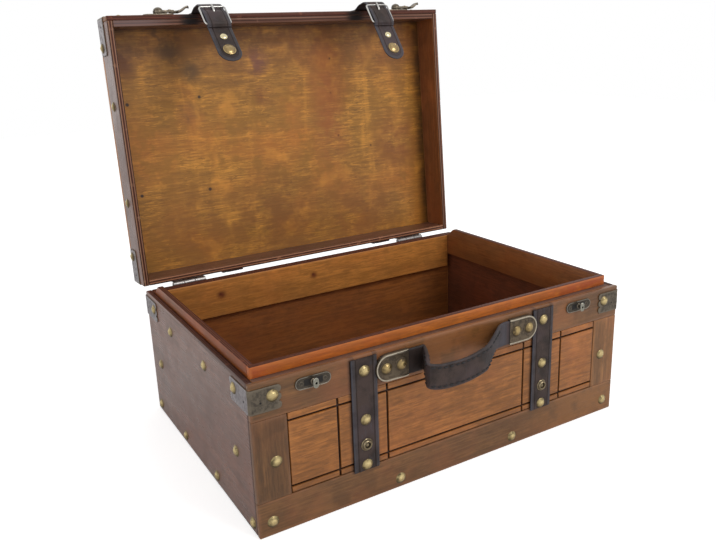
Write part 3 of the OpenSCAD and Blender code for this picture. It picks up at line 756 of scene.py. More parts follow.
def tube(path, radius, sides=10, closed=False, taper=None, flat=1.0):
    """A round wire along a path of points."""
    pts = [Vector(p) for p in path]
    n = len(pts)
    corners = []
    up = None
    for i, p in enumerate(pts):
        if closed:
            d = (pts[(i + 1) % n] - pts[i - 1]).normalized()
        else:
            d = direction(pts, i).normalized()
        if up is None:
            up = d.orthogonal().normalized()
        up = (up - d * up.dot(d)).normalized()
        side = d.cross(up)
        r = radius * (taper(i / (n - 1)) if taper else 1)
        for k in range(sides):
            a = 2 * math.pi * k / sides
            corners.append(p + up * math.cos(a) * r + side * math.sin(a) * r * flat)
    shape = Shape()
    shape.add(corners, joined_rings(n, sides, closed), 0, 0.5)
    return shape


def turned(profile, sides=24, kinds=None, wear=None, dirt=None):
    """A shape turned about the Z axis from (radius, height) points, closed at both ends."""
    angles = [2 * math.pi * k / sides for k in range(sides)]
    rings = [[(r * math.cos(a), r * math.sin(a), h) for a in angles] for r, h in profile]
    return ringed(rings, kinds, wear, dirt, 0.4)


def stepped(outlines, heights, kinds=None, wear=None, dirt=None):
    """A plate whose outline steps in and up through matching outlines, closed at both ends."""
    rings = []
    for outline, h in zip(outlines, heights):
        rings.append([(a, b, h[k] if hasattr(h, "__len__") else h) for k, (a, b) in enumerate(outline)])
    return ringed(rings, kinds, wear, dirt, 0.3)


def direction(path, i):
    """The way a path runs at its point i."""
    return path[min(i + 1, len(path) - 1)] - path[max(i - 1, 0)]


def distances(path):
    """How far along a path each of its points lies."""
    out = [0.0]
    for a, b in zip(path, path[1:]):
        out.append(out[-1] + (b - a).length)
    return out


def rounded_path(points, radius, step=1.5):
    """A path through the points with its corners rounded, as points about a step apart."""
    pts = [Vector(p) for p in points]
    out = [pts[0]]
    for i in range(1, len(pts) - 1):
        before, here, after = pts[i - 1], pts[i], pts[i + 1]
        a, b = (before - here), (after - here)
        reach = min(radius, a.length * 0.48, b.length * 0.48)
        p, q = here + a.normalized() * reach, here + b.normalized() * reach
        for k in range(7):
            t = k / 6
            out.append(p * (1 - t) ** 2 + here * 2 * t * (1 - t) + q * t * t)
    out.append(pts[-1])
    dense = [out[0]]
    for p in out[1:]:
        gap = (p - dense[-1]).length
        if gap < 1e-4:
            continue
        start = dense[-1]
        count = max(1, int(gap / step))
        for k in range(1, count + 1):
            dense.append(start.lerp(p, k / count))
    return dense


def facing(way, x, y, z, spin=0.0):
    """Places a thing built upwards on the board that looks that way."""
    turns = {"front": Matrix.Rotation(math.pi / 2, 4, "X"),
             "back": Matrix.Rotation(-math.pi / 2, 4, "X"),
             "left": Matrix.Rotation(-math.pi / 2, 4, "Y"),
             "right": Matrix.Rotation(math.pi / 2, 4, "Y"),
             "top": Matrix.Identity(4)}
    return Matrix.Translation((x, y, z)) @ turns[way] @ Matrix.Rotation(spin, 4, "Z")


def nail(seed):
    """A hammered dome nail with a thin, slightly uneven skirt."""
    s = bpy.context.scene.trunk_metal
    chance = random.Random(seed)
    r = NAIL_D / 2
    profile = [(r * 0.98, -0.3), (r, 0.05), (r * 0.97, 0.28), (r * 0.86, 0.62), (r * 0.74, 1.05),
               (r * 0.6, 1.5), (r * 0.44, 1.92), (r * 0.27, 2.22), (r * 0.1, 2.38)]
    # Rubbed bright towards the crown; the dark skirt is patina and painted contact shade where the nail meets
    # the board.
    wear = [0.0, 0.2, 0.0, 0.0, 0.05, 0.2, 0.45, 0.6, 0.65]
    dirt = [1.0, 0.7, 0.7, 0.5, 0.25, 0.05, 0.0, 0.0, 0.0]
    dome = turned(profile, s.sides, None, wear, dirt)
    turn = chance.uniform(0, 20)
    corners = []
    for x, y, z in dome.corners:
        p = Vector((x, y, z))
        marks = noise.noise(p * 0.42 + Vector((turn, turn * 0.7, seed * 0.13)))
        marks += 0.5 * noise.noise(p * 0.95 + Vector((seed * 0.37, turn, 0)))
        out = Vector((x * 0.35, y * 0.35, 1.0)).normalized()
        corners.append(tuple(p + out * marks * (s.hammer / MM) * 1.4 * clamped(z / 0.6)))
    dome.corners = corners
    return dome


def nails(places, seed):
    """Nails on the faces given. On upright faces each dome gets painted shade on its lower half and a painted
    highlight on its upper part.
    """
    shape = Shape()
    for k, (way, x, y, z) in enumerate(places):
        first = len(shape.corners)
        shape.include(nail(seed + k), facing(way, x, y, z, 1.7 * k))
        if way == "top":
            continue
        for i in range(first, len(shape.corners)):
            # Painted shade darkens the dome's lower half; painted highlight lightens its upper part.
            sunk = (z - shape.corners[i][2]) / (NAIL_D / 2)
            worn = shape.wear[i]
            shape.dirt[i] = min(1.0, shape.dirt[i] + 0.9 * max(0.0, sunk + 0.05))
            shape.wear[i] = min(1.0, worn + 0.8 * max(0.0, 1 - abs(sunk + 0.32) / 0.4) * worn)
    return shape


def mirrored(places):
    """The places given, and their mirror images left to right."""
    swap = {"left": "right", "right": "left"}
    return places + [(swap.get(way, way), -x, y, z) for way, x, y, z in places]


def done(piece, body, slot, *nodes):
    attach(piece, body)
    if nodes:
        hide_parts(*nodes)
    return piece


# Boards


def wood_finishes():
    """The wood of each kind of board and the layers of the cut edges, by name."""
    s = bpy.context.scene.trunk_boards
    red, rubbed_side = tint(180, 76, 30), tint(140, 98, 78)
    # Painted shadow and grime beside the straps, and painted shade in the seam beside the right stile.
    panel_shade_and_grime_lines = strap_shade_and_grime_lines() + [("X", room("right_stile")[0][0], -1, 3.2, 0.97, None)]
    # Lighter warm patches on the rails, one behind the handle, and a darker one near the right end of the top
    # rail.
    rail_patches = on_face(1, FRONT_FACE, [(-12, 118, 50, tint(168, 104, 56), 0.36),
                                          (118, 118, 20, tint(170, 104, 58), 0.3),
                                          (172, 118, 18, tint(92, 60, 38), 0.3),
                                          (165, 12, 60, tint(170, 112, 58), 0.34)])
    lip_stains = on_face(1, LIP_FRONT, [(165, 136, 45, tint(156, 62, 34), 0.55),
                                        (-188, 136, 20, tint(160, 62, 38), 0.4)])
    liner_knots = on_face(1, LINER_FACE, [(-119, 115, 1.3, 0.9), (-8, 116, 1.2, 0.9)])
    liner_stains = on_face(1, LINER_FACE, [(-118, 114, 4, tint(96, 40, 18), 0.7),
                                           (-7, 115, 3.5, tint(104, 44, 20), 0.65)])
    return {
        "panel": wood("panel_wood", s.panel_colour, "X", tint(180, 104, 52), 0.62, 0.25, 0.5, 0.4,
                      rub=tint(206, 142, 84), grime_and_shade=1.0, dashes=0.7, marks=0.45, shade_and_grime_lines=panel_shade_and_grime_lines),
        "rail": wood("rail_wood", s.frame_colour, "X", tint(144, 82, 46), 0.6, 0.0, 0.5, 0.42,
                     rub=tint(146, 98, 66), stains_and_painted_light=rail_patches, shade_and_grime_lines=strap_shade_and_grime_lines()),
        "stile": wood("stile_wood", shade(s.frame_colour, 0.8), "Z", tint(132, 78, 44), 0.6, 0.0, 0.5, 0.42,
                      rub=tint(130, 92, 66)),
        "right_stile": wood("right_stile_wood", shade(s.frame_colour, 1.4), "Z", tint(160, 92, 50), 0.7, 0.0,
                            0.5, 0.42, rub=tint(176, 120, 76)),
        "side": wood("side_wood", s.side_colour, "Y", tint(126, 68, 46), 0.5, 0.0, 0.45, 0.3, coat=0.32,
                     rub=rubbed_side, dashes=0.4),
        "back": wood("back_wood", s.side_colour, "X", tint(122, 66, 46), 0.3, 0.0, 0.3, 0.32, coat=0.3,
                     rub=rubbed_side),
        "lip": wood("lip_wood", s.lip_colour, "X", red, 0.4, 0.0, 0.42, 0.4, coat=0.05,
                    rub=tint(204, 118, 44), dashes=0.4, stains_and_painted_light=lip_stains),
        "lip_side": wood("lip_side_wood", shade(s.lip_colour, 0.42), "Y", red, 0.5, 0.0, 0.5, 0.36, coat=0.1,
                         rub=tint(150, 74, 40)),
        # The ledge darkens along the lip's foot: painted shade in the corner.
        "ledge": wood("ledge_wood", tint(112, 72, 50), "X", tint(92, 52, 40), 0.4, 0.0, 0.3, 0.62, coat=0.0,
                      rub=tint(112, 82, 68), shade_and_grime_lines=[("Y", LIP_FRONT, -1, 5.5, 0.97, None)]),
        "rim": layered("rim_layers", s.rim_colour, tint(160, 94, 62)),
        "rim_side": layered("rim_layers_side", s.rim_colour, tint(160, 94, 62), "Y"),
        "liner": wood("liner_wood", tint(204, 134, 62), "X", tint(190, 110, 50), 0.45, 0.15, 0.4, 0.46,
                      knots=liner_knots, stains_and_painted_light=liner_stains),
        "liner_side": wood("liner_side_wood", tint(140, 84, 42), "Y", tint(150, 78, 36), 0.45, 0.0, 0.4,
                           0.46),
        "inside": wood("inside_wood", tint(148, 88, 40), "X", tint(140, 74, 36), 0.4, 0.0, 0.4, 0.5),
        "inside_side": wood("inside_side_wood", tint(106, 56, 34), "Y", tint(116, 52, 30), 0.4, 0.0, 0.4,
                            0.5),
        "floor": wood("floor_wood", tint(116, 70, 40), "X", tint(124, 62, 34), 0.45, 0.1, 0.45, 0.5),
    }


def grooved_panel(lo, hi):
    """The front panel: a fine grid whose front dips along the cut grooves and rounds over at its edges."""
    s = bpy.context.scene.trunk_boards
    half, depth = s.groove_width / MM / 2, s.groove_depth / MM
    levels = [37.0, 94.0]
    uprights = [-120.5, -74.0, 74.0, 120.5]

    def stations(a, b, grooves):
        marks = {a, b}
        for t in (0.1, 0.3, 0.6, 1.0, 3.5):
            marks |= {a + t, b - t}
        for g in grooves:
            for t in (0, half * 0.45, half * 0.8, half, half + 0.3, half + 1.6):
                marks |= {g - t, g + t}
        ordered = sorted(marks)
        out = []
        for p, q in zip(ordered, ordered[1:]):
            out.append(p)
            count = int((q - p) / 7)
            for k in range(1, count):
                out.append(p + (q - p) * k / count)
        out.append(ordered[-1])
        return out

    xs, zs = stations(lo[0], hi[0], uprights), stations(lo[2], hi[2], levels)

    def dip(distance):
        t = distance / half
        if t >= 1.25:
            return 0.0
        return depth * (1 - clamped((t - 0.5) / 0.75) ** 1.4)

    corners, wear, dirt = [], [], []
    for z in zs:
        for x in xs:
            near = min([abs(z - g) for g in levels] + [abs(x - g) for g in uprights])
            border = min(x - lo[0], hi[0] - x, z - lo[2], hi[2] - z)
            fall = 0.6 - math.sqrt(max(0.0, 0.36 - (0.6 - min(border, 0.6)) ** 2))
            groove = dip(near)
            corners.append((x, lo[1] + fall + groove, z))
            # Painted shadow of the panel's lower edge on the rail, and dirt with painted shade in the
            # grooves.
            low_edge_shadow = max(0.0, 1 - (z - lo[2]) / 1.2) * 0.7
            dirt.append(max(low_edge_shadow, min(1.0, groove / depth * 1.3) if near < half * 1.3 else 0.0))
            wear.append(max(0.0, 1 - border / 3.5) * 0.2 + (0.25 if half * 1.2 < near < half + 0.4 else 0.0))
    n, m = len(xs), len(zs)
    faces = [(j * n + i, j * n + i + 1, (j + 1) * n + i + 1, (j + 1) * n + i)
             for j in range(m - 1) for i in range(n - 1)]
    ring = (list(range(n)) + [j * n + n - 1 for j in range(1, m)]
            + [(m - 1) * n + i for i in range(n - 2, -1, -1)] + [j * n for j in range(m - 2, 0, -1)])
    count = len(corners)
    # The panel's edges darken towards the back: painted shade in the seams round it.
    for i in ring:
        corners.append((corners[i][0], hi[1], corners[i][2]))
        wear.append(0.0)
        dirt.append(0.9)
    for k in range(len(ring)):
        j = (k + 1) % len(ring)
        faces.append((ring[k], ring[j], count + j, count + k))
    faces.append(tuple(count + k for k in range(len(ring))))
    shape = Shape()
    shape.add(corners, faces, 0, wear, dirt)
    return shape


def make_body_boards():
    """The body's boards. Each row names the solid, its slot, the materials, the edge rounding, the sides that
    take another material than the first, and the axis across the layers of its rim."""
    s = bpy.context.scene.trunk_boards
    w = wood_finishes()
    edge, rub = s.edge_round / MM, s.edge_rub / MM
    plan = [
        ("bottom_panel", "inner_ply", (w["floor"], w["back"]), 0.5, {"-z": 1}, None),
        ("back_wall", "side_wood", (w["back"], w["inside"], w["rim"]), edge, {"-y": 1, "+z": 2}, 1),
        ("front_backing", "inner_ply", (w["inside"], w["ledge"]), 0.4, {"+z": 1}, 1),
        ("top_rail", "frame_wood", (w["rail"],), 0.7, {}, None),
        ("bottom_rail", "frame_wood", (w["rail"],), 0.7, {}, None),
        ("left_stile", "frame_wood", (w["stile"],), 0.7, {}, None),
        ("right_stile", "frame_wood", (w["right_stile"],), 0.7, {}, None),
        ("back_liner", "inner_ply", (w["liner"], w["rim"]), 0.6, {"+z": 1}, 1),
        ("front_liner", "lip_wood", (w["liner"], w["lip"], w["rim"]), 0.9,
         {"-y": 1, "-x": 1, "+x": 1, "+z": 2}, 1),
    ]
    slip = 0.3
    for k, (node, slot, finishes, soft, sides, thick) in enumerate(plan):
        lo, hi = room(node)
        if node == "front_liner":
            lo, hi = lo + (slip, slip, 0), hi - (slip, 0, 0)
        shape = board(lo, hi, soft, rub, sides, thick)
        done(shape.make(node + "_board", finishes, cut=k + 1.0), "trunk_body", slot, node)
    flanks = ((-1, "left", {"-x": 0, "+x": 1, "+z": 2}), (1, "right", {"+x": 0, "-x": 1, "+z": 2}))
    for side, name, sides in flanks:
        lo, hi = room(name + "_wall")
        shape = board(lo, hi, 1.3, rub, sides, 0, 3)
        shape.dirt = [0.8 if y < lo[1] + 1.4 else 0.0 for x, y, z in shape.corners]
        finishes = (w["side"], w["inside_side"], w["rim_side"])
        done(shape.make(name + "_wall_board", finishes, cut=20.0 + side), "trunk_body", "side_wood",
             name + "_wall")
    for side, name, sides in flanks:
        lo, hi = room(name + "_liner")
        outline = [(lo[1], lo[2]), (hi[1], lo[2]), (hi[1], RIM), (BACK - 11, RIM), (BACK - 23, hi[2]),
                   (lo[1], hi[2])]
        near, far = (lo[0] + slip, hi[0]) if side < 0 else (lo[0], hi[0] - slip)
        shape = slab(outline, near, far, "X", 0.8, rub, 2, sides, 0)
        finishes = (w["lip_side"], w["liner_side"], w["rim_side"])
        done(shape.make(name + "_liner_board", finishes, cut=30.0 + side), "trunk_body", "lip_wood",
             name + "_liner")
    lo, hi = room("front_panel")
    hi = Vector((hi[0], hi[1], room("top_rail")[0][2] - 0.15))
    panel = grooved_panel(lo, hi).make("front_panel_board", (w["panel"],), cut=12.0, sharp=50)
    done(panel, "trunk_body", "panel_wood", "front_panel")


def lid_inside_finish(colour):
    """The wood inside the lid, with the four nail holes, the smoke marks and the paler strip of the photo."""
    # Painted shade in the corners along the two side walls and under the rim.
    shade_and_grime_lines = [("X", 188.0, -1, 15.0, 0.8, None), ("X", -188.0, 1, 9.0, 0.6, None),
             ("Y", LIP_FRONT, 1, 6.0, 0.6, None)]
    knots = [(-177.3, -49.6, 1.8, 0.95), (-100.1, -52.3, 1.6, 0.9), (-174.9, 44.7, 1.7, 0.95),
             (-100.0, 46.9, 1.8, 0.95), (62, -85, 1.2, 0.85), (110, 20, 1.1, 0.8), (66, 4, 1.4, 0.85),
             (60, -46, 1.2, 0.7)]
    # The wide spots along the top edge, at -118 and -120, are painted shade under the rim; the wide ones near
    # 90 to 100 darken the bottom edge; the rest are stains and smudges.
    stains_and_painted_light = [(-177, -94, 16, tint(104, 56, 22), 0.7), (-140, -118, 45, tint(100, 58, 28), 0.5),
              (-130, -118, 13, tint(66, 42, 16), 0.72), (-126, -100, 11, tint(78, 50, 20), 0.65),
              (-106, -80, 9, tint(92, 66, 34), 0.68), (-113.5, -36, 9, tint(88, 62, 38), 0.75),
              (-50, -120, 50, tint(112, 66, 32), 0.6), (50, -120, 50, tint(116, 64, 30), 0.55),
              (150, -120, 50, tint(106, 56, 26), 0.6), (-20, 95, 50, tint(128, 78, 34), 0.55),
              (90, 100, 50, tint(134, 78, 36), 0.45), (-120, 90, 45, tint(136, 84, 38), 0.45),
              (58, -50, 19, tint(168, 92, 42), 0.45), (55, -20, 19, tint(168, 92, 42), 0.5),
              (56, 12, 19, tint(164, 88, 40), 0.4), (60, -80, 17, tint(160, 84, 40), 0.3),
              (-30, -85, 12, tint(116, 66, 62), 0.5), (-24, -48, 10, tint(118, 62, 30), 0.5),
              (150, 20, 30, tint(138, 78, 36), 0.55)]
    return wood("lid_inside_wood", colour, "X", tint(188, 112, 40), 0.75, 0.5, 0.7, 0.44, dashes=0.75,
                marks=0.8, shade_and_grime_lines=shade_and_grime_lines, knots=on_face(2, LID_CEILING, knots),
                stains_and_painted_light=on_face(2, LID_CEILING, stains_and_painted_light))


def make_lid_boards():
    """The lid's boards, modelled shut and then turned open. The rows are as those of the body."""
    s = bpy.context.scene.trunk_boards
    w = wood_finishes()
    rub = s.edge_rub / MM
    inside = lid_inside_finish(s.inner_colour)
    red_side = wood("lid_inner_side_wood", tint(144, 86, 47), "Y", tint(146, 74, 38), 0.5, 0.0, 0.45, 0.42)
    red_long = wood("lid_inner_long_wood", tint(104, 66, 52), "X", tint(112, 64, 46), 0.35, 0.0, 0.35, 0.36,
                    coat=0.25)
    # Painted shadow of each strap: a dark spot on the rim to its left.
    strap_shadow = on_face(2, LID_RIM, [(x - 15, y, 9, tint(22, 13, 12), 0.9)
                                for x in (-STRAP_X, STRAP_X) for y in (-131, -125)])
    # A painted reflection: a pale lavender patch on the inner rim near its left end.
    sky_glint = on_face(2, LID_RIM, [(-172, -126, 30, tint(132, 114, 114), 0.45)])
    outer_rim = layered("lid_rim_layers", tint(98, 50, 38), tint(158, 96, 72), stains_and_painted_light=strap_shadow)
    inner_rim = layered("lid_inner_rim_layers", tint(98, 60, 46), tint(150, 108, 88),
                        bands=(0.05, 0.48, 0.94), stains_and_painted_light=sky_glint + strap_shadow)
    back_rim = layered("lid_back_rim_layers", tint(104, 60, 42), tint(204, 144, 108),
                       bands=(0.04, 0.44, 0.82), streak=0.1)
    side_rim = layered("lid_side_rim_layers", tint(108, 60, 44), tint(178, 136, 108), "Y",
                       bands=(0.1, 0.5, 0.87), line=0.11, streak=0.2)
    top = wood("lid_top_wood", s.panel_colour, "X", tint(180, 96, 48), 0.42, 0.15, 0.4, 0.38,
               rub=tint(206, 142, 84))
    plan = [
        ("lid_top_panel", "panel_wood", (top, inside), 0.8, {"-z": 1}, None),
        ("lid_front_rail", "frame_wood", (w["rail"], outer_rim), 0.8, {"-z": 1}, 1),
        ("lid_front_board", "rim_wood", (red_long, inner_rim), 0.7, {"-z": 1}, 1),
        ("lid_back_board", "rim_wood", (w["back"], red_long, back_rim), 0.8, {"-y": 1, "-z": 2}, 1),
        ("lid_left_board", "side_wood", (w["side"], red_side, side_rim), 0.9, {"+x": 1, "-z": 2}, 0),
        ("lid_right_board", "side_wood", (w["side"], red_side, side_rim), 0.9, {"-x": 1, "-z": 2}, 0),
    ]
    for k, (node, slot, finishes, soft, sides, thick) in enumerate(plan):
        lo, hi = room(node, shut=True)
        shape = board(lo, hi, soft, rub, sides, thick)
        done(shape.make(node + "_board", finishes, LID_OPEN, cut=41.0 + k), "lid", slot, node)


# Leather


def columns_across(half, steps):
    """Places across a strap, closer together towards both of its edges."""
    return [-half + c for c in steps] + [0] + [half - c for c in reversed(steps)]


def strap(path, thickness=STRAP_T, round_end=False, dents=()):
    """A leather strap along a path in the YZ plane, which runs forwards over the top and down the front.
    dents are the distances along it at which a nail or rivet presses it in."""
    groove = bpy.context.scene.trunk_leather.crease / MM
    half = STRAP_W / 2
    across = columns_across(half, [0, 0.25, 0.7, 1.3, 2.2, 3.1, 3.3, 3.6, 4.0, 4.4, 4.8, 5.2, 8.0])
    along = distances(path)
    corners, wear, dirt = [], [], []
    for p, gone, i in zip(path, along, range(len(path))):
        d = direction(path, i).normalized()
        out = Vector((0, d.z, -d.y))
        left = along[-1] - gone
        ending = round_end and left < half
        shrink = math.sqrt(max(0.0004, 1 - (1 - left / half) ** 2)) if ending else 1.0
        for side in (1, -1):
            for u in (across if side > 0 else reversed(across)):
                edge = half - abs(u)
                if ending:
                    edge = max(0.0, half - math.hypot(u * shrink, half - left))
                lift = thickness / 2 * min(1.0, 0.45 + 0.55 * math.sqrt(min(1.0, edge / 0.7)))
                press = 0.0
                if side > 0:
                    lift += 0.12 * max(0.0, 1 - (u / half) ** 2)
                    press = groove * max(0.0, 1 - abs(edge - 4.0) / 0.7)
                    for centre in dents:
                        gap = math.hypot(gone - centre, u * shrink)
                        lift -= 0.35 * math.exp(-((gap - 4.6) / 1.6) ** 2)
                wave = 0.10 * noise.noise(Vector((u * 0.12, gone * 0.045, p.y * 0.01)))
                corners.append((u * shrink, *(p + out * (side * (lift - press) + wave))[1:]))
                # The outermost 0.8 mm is a painted highlight along with rubbing; the border to 3.2 mm takes
                # the cut edge's colour, and the crease line is darker.
                wear.append((0.8 if edge < 0.8 else 0.38 if edge < 3.2 else 0.0) if side > 0 else 0.2)
                dirt.append((0.5 if 3.5 < edge < 4.5 else 0.0) if side > 0 else 0.3)
    shape = Shape()
    shape.add(corners, joined_rings(len(path), 2 * len(across)), 0, wear, dirt)
    return shape


def in_plane(points):
    return [Vector((0, y, z)) for y, z in points]


def make_body_straps():
    finish = strap_leather()
    for node, front in (("front_straps", True), ("back_straps", False)):
        lo, hi = room(node)
        y = FRONT - STRAP_T / 2 if front else BACK + STRAP_T / 2
        ends = [(y, hi[2]), (y, lo[2])] if front else [(y, lo[2]), (y, hi[2])]
        path = rounded_path(in_plane(ends), 1, 1.2)
        dents = [hi[2] - z for z in (*STRAP_NAIL_ZS, STUD_Z)] if front else [z - lo[2] for z in STRAP_NAIL_ZS]
        shape = Shape()
        for x in (-STRAP_X, STRAP_X):
            shape.include(strap(path, dents=dents), Matrix.Translation((x, 0, 0)))
        done(shape.make(node + "_leather", (finish,)), "trunk_body", "strap_leather", node)


def bend_angle(side):
    tab = next(j for j in frame["joints"] if j["name"] == side + "_tab_bend")
    return math.radians(-tab["range_deg"][0])


TAB_ANGLE = {"left": bend_angle("left"), "right": bend_angle("right")}
TAB_L, SNAP_AT, RIVET_AT, BUCKLE_AT, BUCKLE_L, BUCKLE_OUT = 74.0, 60.5, 43.0, 4.0, 23.0, -2.0


def tab_place(x):
    """Where a tab's own frame lies at rest: -Z runs along the tab, -Y looks outwards."""
    bend = Matrix.Translation((x * MM, (FRONT - BEND_OUT) * MM, BEND_Z * MM))
    return LID_OPEN @ bend @ Matrix.Rotation(TAB_ANGLE["left" if x < 0 else "right"], 4, "X")


def make_lid_straps():
    """Each strap and its hanging tab are one leather, bent where the tab turns. The tab's second layer starts
    under the buckle and ends below it."""
    finish = strap_leather()
    mid = STRAP_T / 2
    bend = Vector((0, FRONT - BEND_OUT, BEND_Z))
    start, end = 13.0, -14.0
    path = [(BACK + mid, LID_Z + 2), (BACK + mid, LID_TOP + mid), (FRONT - mid, LID_TOP + mid),
            (FRONT - mid, LID_Z + 5), (bend.y, RIM - 4), (bend.y, BEND_Z - TAB_L)]
    high, low = BEND_Z - BUCKLE_AT, BEND_Z - BUCKLE_AT - BUCKLE_L
    fold = [(bend.y - 0.7, high - 5), (bend.y - 3.3, high - 8.5), (bend.y - 3.9, low + 2),
            (bend.y - 3.9, low - 1.2), (bend.y - 1.6, low - 3), (bend.y - 1.6, low - 4.2)]
    sides = (("left", -STRAP_X, ("lid_straps", "left_tab")), ("right", STRAP_X, ("right_tab",)))
    for name, x, nodes in sides:
        belt = strap(rounded_path(in_plane(path), 3.0, 1.2), round_end=True)
        belt.include(strap(rounded_path(in_plane(fold), 3, 0.8), thickness=1.5))
        corners = []
        for corner in belt.corners:
            p = Vector(corner)
            if p.y < FRONT and p.z < BEND_Z + start:
                share = eased(clamped((BEND_Z + start - p.z) / (start - end)))
                p = bend + Matrix.Rotation(TAB_ANGLE[name] * share, 3, "X") @ (p - bend)
            corners.append((p.x + x, p.y, p.z))
        belt.corners = corners
        piece = belt.make(name + "_strap_and_tab", (finish,), LID_OPEN)
        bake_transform(piece)
        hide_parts(*nodes)


# The handle's leather seen from above, left to right: place along the front, distance out from it, and drop
HANDLE_PLAN = ((-80, 1.6, 0), (-42, 1.6, 0), (-38.6, 2.2, 0), (-41.5, 9.5, -1.2), (-47, 19, -3.2),
               (-50, 24.6, -4.8), (-47.5, 26.7, -5.9), (-40, 27.3, -7.6), (-30, 27.4, -8.4),
               (-17, 27.2, -8.6), (-6, 26.7, -7.6), (3, 25.8, -6.2), (12, 23.4, -5.2), (20, 20.3, -1.8),
               (28, 15.2, -0.3),
               (35, 9.6, 0), (40, 5.6, 0), (46, 2.8, 0), (52, 1.9, 0), (80, 1.6, 0))
HANDLE_HALF = 11.0
SEAM_IN = 2.8


def tuck(x, up):
    """How far the band's lower half is drawn left where the leather twists, at a height from its middle."""
    turn = clamped((x - 6) / 22) * clamped((50 - x) / 10)
    return Vector((-6.5 * eased(turn) * max(0.0, -up / HANDLE_HALF), 0, up))


def level_frame(line, i):
    """The level way along a line at its point i, and the way out from it."""
    d = direction(line, i)
    d.z = 0
    d.normalize()
    return d, Vector((d.y, -d.x, 0))


def handle_band(line):
    """The band along the line, padded where it is free of the plates, pressed in along its two seams."""
    half = HANDLE_HALF
    across = columns_across(half, [0, 0.3, 0.8, 1.6, 2.4, 3.2, 4.2, 6.5])
    corners, wear, dirt = [], [], []
    for p, gone, i in zip(line, distances(line), range(len(line))):
        out = level_frame(line, i)[1]
        free = clamped((FRONT - p.y - 3) / 12)
        thickness = 2.6 + 0.6 * free
        # The part that twists up gets a painted sheen; the band gets painted shade where it enters a plate
        # and on its flat end by the left plate.
        twist = clamped((p.x - 2) / 26) * (1.0 if p.x < 50 else 0.0)
        mouth_shade = max(0.0, 1 - abs(abs(p.x) - 54) / 1.6) * (1 - free)
        fold = 0.7 * clamped((-p.x - 36) / 4) * (1 - free)
        for side in (1, -1):
            for u in (across if side > 0 else reversed(across)):
                edge = half - abs(u)
                lift = thickness / 2 * min(1.0, 0.5 + 0.5 * math.sqrt(min(1.0, edge / 0.8)))
                puff = 0.35 * free * max(0.0, 1 - (u / (half - 3)) ** 2) if edge > 3 else 0.0
                seam = free * max(0.0, 1 - abs(edge - SEAM_IN) / 0.9)
                wave = 0.25 * free * noise.noise(Vector((u * 0.1, gone * 0.06, 3.3)))
                corners.append(tuple(p + out * (side * (lift + puff - 0.3 * seam) + wave) + tuck(p.x, u)))
                # Lighter edges, the top one more: rubbing with a painted highlight.
                edge_rub_and_highlight = (0.4 if u > 0 else 0.25) if 0.2 < edge < 1.0 and side > 0 else 0.0
                wear.append(max(edge_rub_and_highlight, 0.62 * twist))
                dirt.append(max(mouth_shade, 0.5 * seam, fold))
    shape = Shape()
    shape.add(corners, joined_rings(len(line), 2 * len(across)), 0, wear, dirt)
    return shape


def handle_stitches(line, step):
    """Beads of thread along both seams, on both faces of the band, where it is free of the plates."""
    shape = Shape()
    gone = 0.0
    for i in range(1, len(line) - 1):
        if FRONT - line[i].y < 9:
            continue
        gone += (line[i] - line[i - 1]).length
        if gone < step:
            continue
        gone = 0.0
        d, out = level_frame(line, i)
        for side in (1, -1):
            for row in (-1, 1):
                centre = line[i] + out * side * 1.57 + tuck(line[i].x, row * (HANDLE_HALF - SEAM_IN))
                arch = ((-1.6, -0.3), (-1.0, 0.15), (0.0, 0.25), (1.0, 0.15), (1.6, -0.3))
                shape.include(tube([centre + d * a + out * side * b for a, b in arch], 0.66, 6))
    shape.kinds = [1] * len(shape.faces)
    return shape


def make_handle():
    """One leather: flat under the left plate, folded out, along the grip and back under the right plate."""
    s = bpy.context.scene.trunk_leather
    plates = room("handle_plates")
    height = (plates[0][2] + plates[1][2]) / 2
    line = smooth_line([Vector((x, FRONT - out, height + drop)) for x, out, drop in HANDLE_PLAN], 1.3)
    shape = handle_band(line)
    shape.include(handle_stitches(line, s.stitch / MM))
    finishes = (leather("handle_leather", s.colour, shade(s.edge_colour, 0.85), 0.12), thread())
    piece = shape.make("handle_leather_band", finishes)
    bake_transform(piece)
    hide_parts("handle_left_end", "handle_right_end", "handle_grip")


def smooth_line(points, step):
    """A smooth curve through the points, as points about a step apart."""
    out = []
    n = len(points)
    for i in range(n - 1):
        a, b, c, d = points[max(i - 1, 0)], points[i], points[i + 1], points[min(i + 2, n - 1)]
        count = max(2, int((c - b).length / step))
        for k in range(count):
            t = k / count
            out.append(0.5 * ((2 * b) + (c - a) * t + (2 * a - 5 * b + 4 * c - d) * t * t
                              + (3 * b - a - 3 * c + d) * t ** 3))
    out.append(points[-1])
    return out


# Nails, brackets and fittings


def body_nail_places():
    front = [("front", -(SIDE - 18.5), FRONT - 1, BRACKET_NAIL_Z), ("front", -(SIDE - 18.3), FRONT, 63),
             ("front", -(SIDE - 12), FRONT, 12), ("front", -62.5, FRONT, 8.5)]
    rear = [("back", x, BACK + (1 if z == BRACKET_NAIL_Z else 0), z) for _, x, _, z in front]
    flank = [("left", -SIDE - 1, y, BRACKET_NAIL_Z) for y in (FRONT + 28, BACK - 28)]
    flank += [("left", -SIDE, y, 8.5) for y in (FRONT + 12, FRONT + 91.5, BACK - 12, BACK - 91.5)]
    flank += [("left", -SIDE, FRONT + 99, 110.5), ("left", -SIDE, BACK - 76, 110.5),
              ("left", -SIDE, FRONT + 37, 60), ("left", -SIDE, BACK - 29, 60)]
    return mirrored(front + rear + flank)


